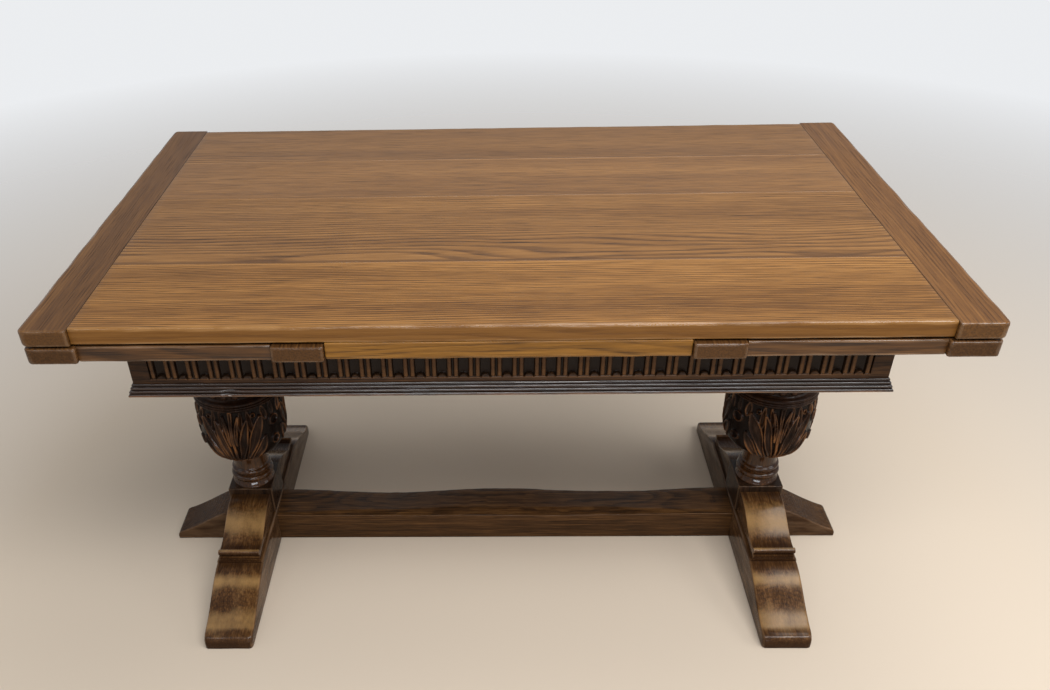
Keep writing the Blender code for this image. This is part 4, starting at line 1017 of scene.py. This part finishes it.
def add_outrigger(side, sign):
    name = f"outrigger_{side}"
    low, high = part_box(name)
    foot_low, foot_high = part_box(f"foot_{side}")
    root = (foot_high.x if sign > 0 else -foot_low.x) + GAP
    tip = high.x if sign > 0 else -low.x
    slope = ogee((tip - 0.006, OUTRIGGER_LOW), (root + 0.008, OUTRIGGER_HIGH), 25, 0.7)
    line = [(root, 0.0)] + back_from(tip, OUTRIGGER_TOE)
    line += [(x, z) for x, z in slope if x < tip - 0.0105] + [(root, OUTRIGGER_HIGH)]
    outline = np.array([(sign * x, z) for x, z in line][::sign])
    # A shade of 0.85 paints the outriggers' wood darker than the feet, as painted shade
    wood = foot_wood(f"{name}_oak", "X", 121.0 + sign, (0.0, 0.03, -0.30), shade=0.85)
    prism(f"{name}_foot", "Y", low.y, high.y, finer(outline), 0.0032,
          ("frame", [name], "foot_oak", wood), 0.0004, 9 + sign,
          lambda x, z: np.full(len(x), 0.40))


# Floor stretcher with its adzed facet

STRETCHER_TALL, STRETCHER_STEPS = 0.069, 150
FACET_WIDTH, FACET_SWELL = 0.006, 0.019
BACK_CHAMFER = 0.012

def add_stretcher():
    low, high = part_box("stretcher")
    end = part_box("foot_right")[0].x - GAP
    half, foot = high.y, low.z
    rings, wears = [], []
    for share in np.linspace(0, 1, STRETCHER_STEPS + 1):
        x = -end + 2 * end * share
        swell = math.sin(math.pi * share)
        top = foot + STRETCHER_TALL + wander(x, 61, 0.0012, 7)
        back = top - 0.003 + 0.005 * math.cos(4 * math.pi * share) + wander(x, 62, 0.0010, 12)
        front = top - 0.002 - 0.003 * swell + wander(x, 63, 0.0009, 12)
        facet = FACET_WIDTH + FACET_SWELL * swell * (1 + wander(x, 64, 0.30, 9))
        corners = [(-half, foot), (half, foot), (half, back),
                   (half - BACK_CHAMFER, back + 0.0016),
                   (-half + facet, top), (-half, front)]
        cuts = [0.002, 0.002, 0.0035, 0.004, 0.002, 0.0016 + wander(x, 65, 0.0005, 30)]
        section, wear = rounded(corners, cuts)
        rings.append([placed("X", x, a, b) for a, b in section])
        # The front arris is the most worn, the ones behind it less, and the lower ones not
        wear[-6:-1] = 1.0
        wear[:14] = 0.0
        wear[14:35] *= 0.4
        wears.append(wear)
    points = np.array(rings).reshape(-1, 3)
    down = unevenness(points, 0.0008, 38, 12) + unevenness(points, 0.0004, 90, 13) - 0.0006
    points[:, 2] += down * (points[:, 2] > foot + 0.02)
    wood = oak("stretcher_oak", STRETCHER_TONES, "X", 131.0, (0.0, -0.01, -0.10), 260,
               roughness=0.34, specular=0.1, coat=0.1, coat_roughness=0.3,
               worn=(0.110, 0.055, 0.024), worn_share=0.6)
    make_piece("stretcher_beam", points, ring_faces(len(rings), len(rings[0])),
               ("frame", ["stretcher"], "foot_oak", wood), wear=np.array(wears))


# Inner pieces keep their solids and get raw oak or steel


def dress_inner():
    for name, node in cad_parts.items():
        if node.hide_render:
            continue
        low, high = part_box(name)
        if "screw" in name:
            finish = steel(f"{name}_steel")
        else:
            size, middle = high - low, (low + high) / 2
            axis = "XYZ"[max(range(3), key=lambda k: size[k])]
            finish = oak(f"{name}_raw_oak", RAW_TONES, axis, middle.x * 9 + middle.y * 5,
                         middle + Vector((0.02, 0.03, -0.04)), 170, roughness=0.62)
        node.data.materials.clear()
        node.data.materials.append(finish)


# Floor, light and camera

FLOOR_COLOUR = (0.66, 0.56, 0.45, 1.0)
FLOOR_FADE = 5.0
WORLD_COLOUR = (0.835, 0.85, 0.87, 1.0)
WORLD_LIGHT, WORLD_GLOSS = 0.26, 0.24
WHITE = (1.0, 1.0, 1.0)
# Each lamp's name, place, target, size, power and colour
LAMPS = (
    ("front_strip", (0.80, -1.75, 2.75), (0.30, -0.1, 0.50), (3.2, 0.9), 88, WHITE),
    ("overhead", (0.6, 0.5, 3.0), (0.2, 0.1, 0.7), (2.4, 1.4), 33, WHITE),
    ("front_fill", (0.1, -3.1, 0.68), (0.0, 0.0, 0.42), (1.9, 0.22), 17, (0.88, 0.93, 1.0)),
    ("left_strip", (-1.55, -1.75, 2.6), (-0.4, -0.3, 0.7), (1.1, 0.18), 5, WHITE),
    ("left_fill", (-2.8, -0.9, 1.6), (0.0, 0.0, 0.4), (1.2, 1.2), 4, WHITE),
    ("right_fill", (2.8, -0.9, 1.6), (0.0, 0.0, 0.4), (1.2, 1.2), 17, WHITE),
)
PICTURE_WIDTH, PICTURE_HEIGHT = 1050, 690
SENSOR_WIDTH = 36.0
CAMERA_PLACE = (-0.0221, -1.6048, 1.4358)
CAMERA_PITCH, CAMERA_YAW, CAMERA_ROLL = 36.2704, -1.6799, -1.3642
CAMERA_FOCAL_PIXELS = 945.555
CAMERA_CENTRE = (470.782, 432.772)


def add_floor():
    shape = bmesh.new()
    bmesh.ops.create_grid(shape, x_segments=1, y_segments=1, size=30.0)
    mesh = bpy.data.meshes.new("floor")
    shape.to_mesh(mesh)
    shape.free()
    floor = link("floor", mesh)
    material, tree, shader = new_material("pale_floor")
    place = add(tree, "TexCoord").outputs["Object"]
    reach = maths("DIVIDE", vectors("LENGTH", place, output="Value"), FLOOR_FADE)
    feed(shader, {"Base Color": FLOOR_COLOUR, "Roughness": 0.9, "Specular IOR Level": 0.1,
                  "Alpha": ramp(reach, (0.22, 1.0), (0.80, 0.0))})
    mesh.materials.append(material)
    floor.location = (0.0, 0.0, -0.0002)


def add_light():
    world = bpy.data.worlds.new("studio")
    bpy.context.scene.world = world
    world.use_nodes = True
    tree = world.node_tree
    path = add(tree, "LightPath").outputs
    seen = maths("MAXIMUM", path["Is Camera Ray"], path["Is Transmission Ray"])
    lit = times(path["Is Glossy Ray"], WORLD_GLOSS, WORLD_LIGHT)
    feed(tree.nodes["Background"], {"Color": WORLD_COLOUR,
                                    "Strength": maths("MAXIMUM", seen, lit)})
    for name, place, target, size, power, colour in LAMPS:
        lamp = bpy.data.lights.new(name, "AREA")
        lamp.shape = "RECTANGLE"
        lamp.size, lamp.size_y = size
        lamp.energy = power
        lamp.color = colour
        holder = link(name, lamp)
        holder.location = place
        aim = (Vector(target) - Vector(place)).to_track_quat("-Z", "Y")
        holder.rotation_euler = aim.to_euler()


def add_camera():
    """The photograph's viewpoint."""
    pitch, yaw, roll = (math.radians(x) for x in (CAMERA_PITCH, CAMERA_YAW, CAMERA_ROLL))
    turn = (Matrix.Rotation(-yaw, 4, "Z") @ Matrix.Rotation(math.pi / 2 - pitch, 4, "X")
            @ Matrix.Rotation(roll, 4, "Z"))
    data = bpy.data.cameras.new("camera")
    data.sensor_width = SENSOR_WIDTH
    data.lens = CAMERA_FOCAL_PIXELS / PICTURE_WIDTH * SENSOR_WIDTH
    data.shift_x = (PICTURE_WIDTH / 2 - CAMERA_CENTRE[0]) / PICTURE_WIDTH
    data.shift_y = (CAMERA_CENTRE[1] - PICTURE_HEIGHT / 2) / PICTURE_WIDTH
    camera = link("camera", data)
    camera.matrix_world = Matrix.Translation(CAMERA_PLACE) @ turn
    bpy.context.scene.camera = camera


add_camera()
add_floor()
add_light()
add_top()
add_centre_board()
for side_name, side_sign in SIDES:
    add_leaf(side_name, side_sign)
    add_column(side_name, side_sign)
    add_foot(side_name, side_sign)
    add_outrigger(side_name, side_sign)
    for row_name, row_sign in ROWS:
        add_bracket(side_name, side_sign, row_name, row_sign)
add_frame()
add_stretcher()
dress_inner()
bpy.context.scene.view_settings.view_transform = "Standard"
bpy.context.view_layer.update()
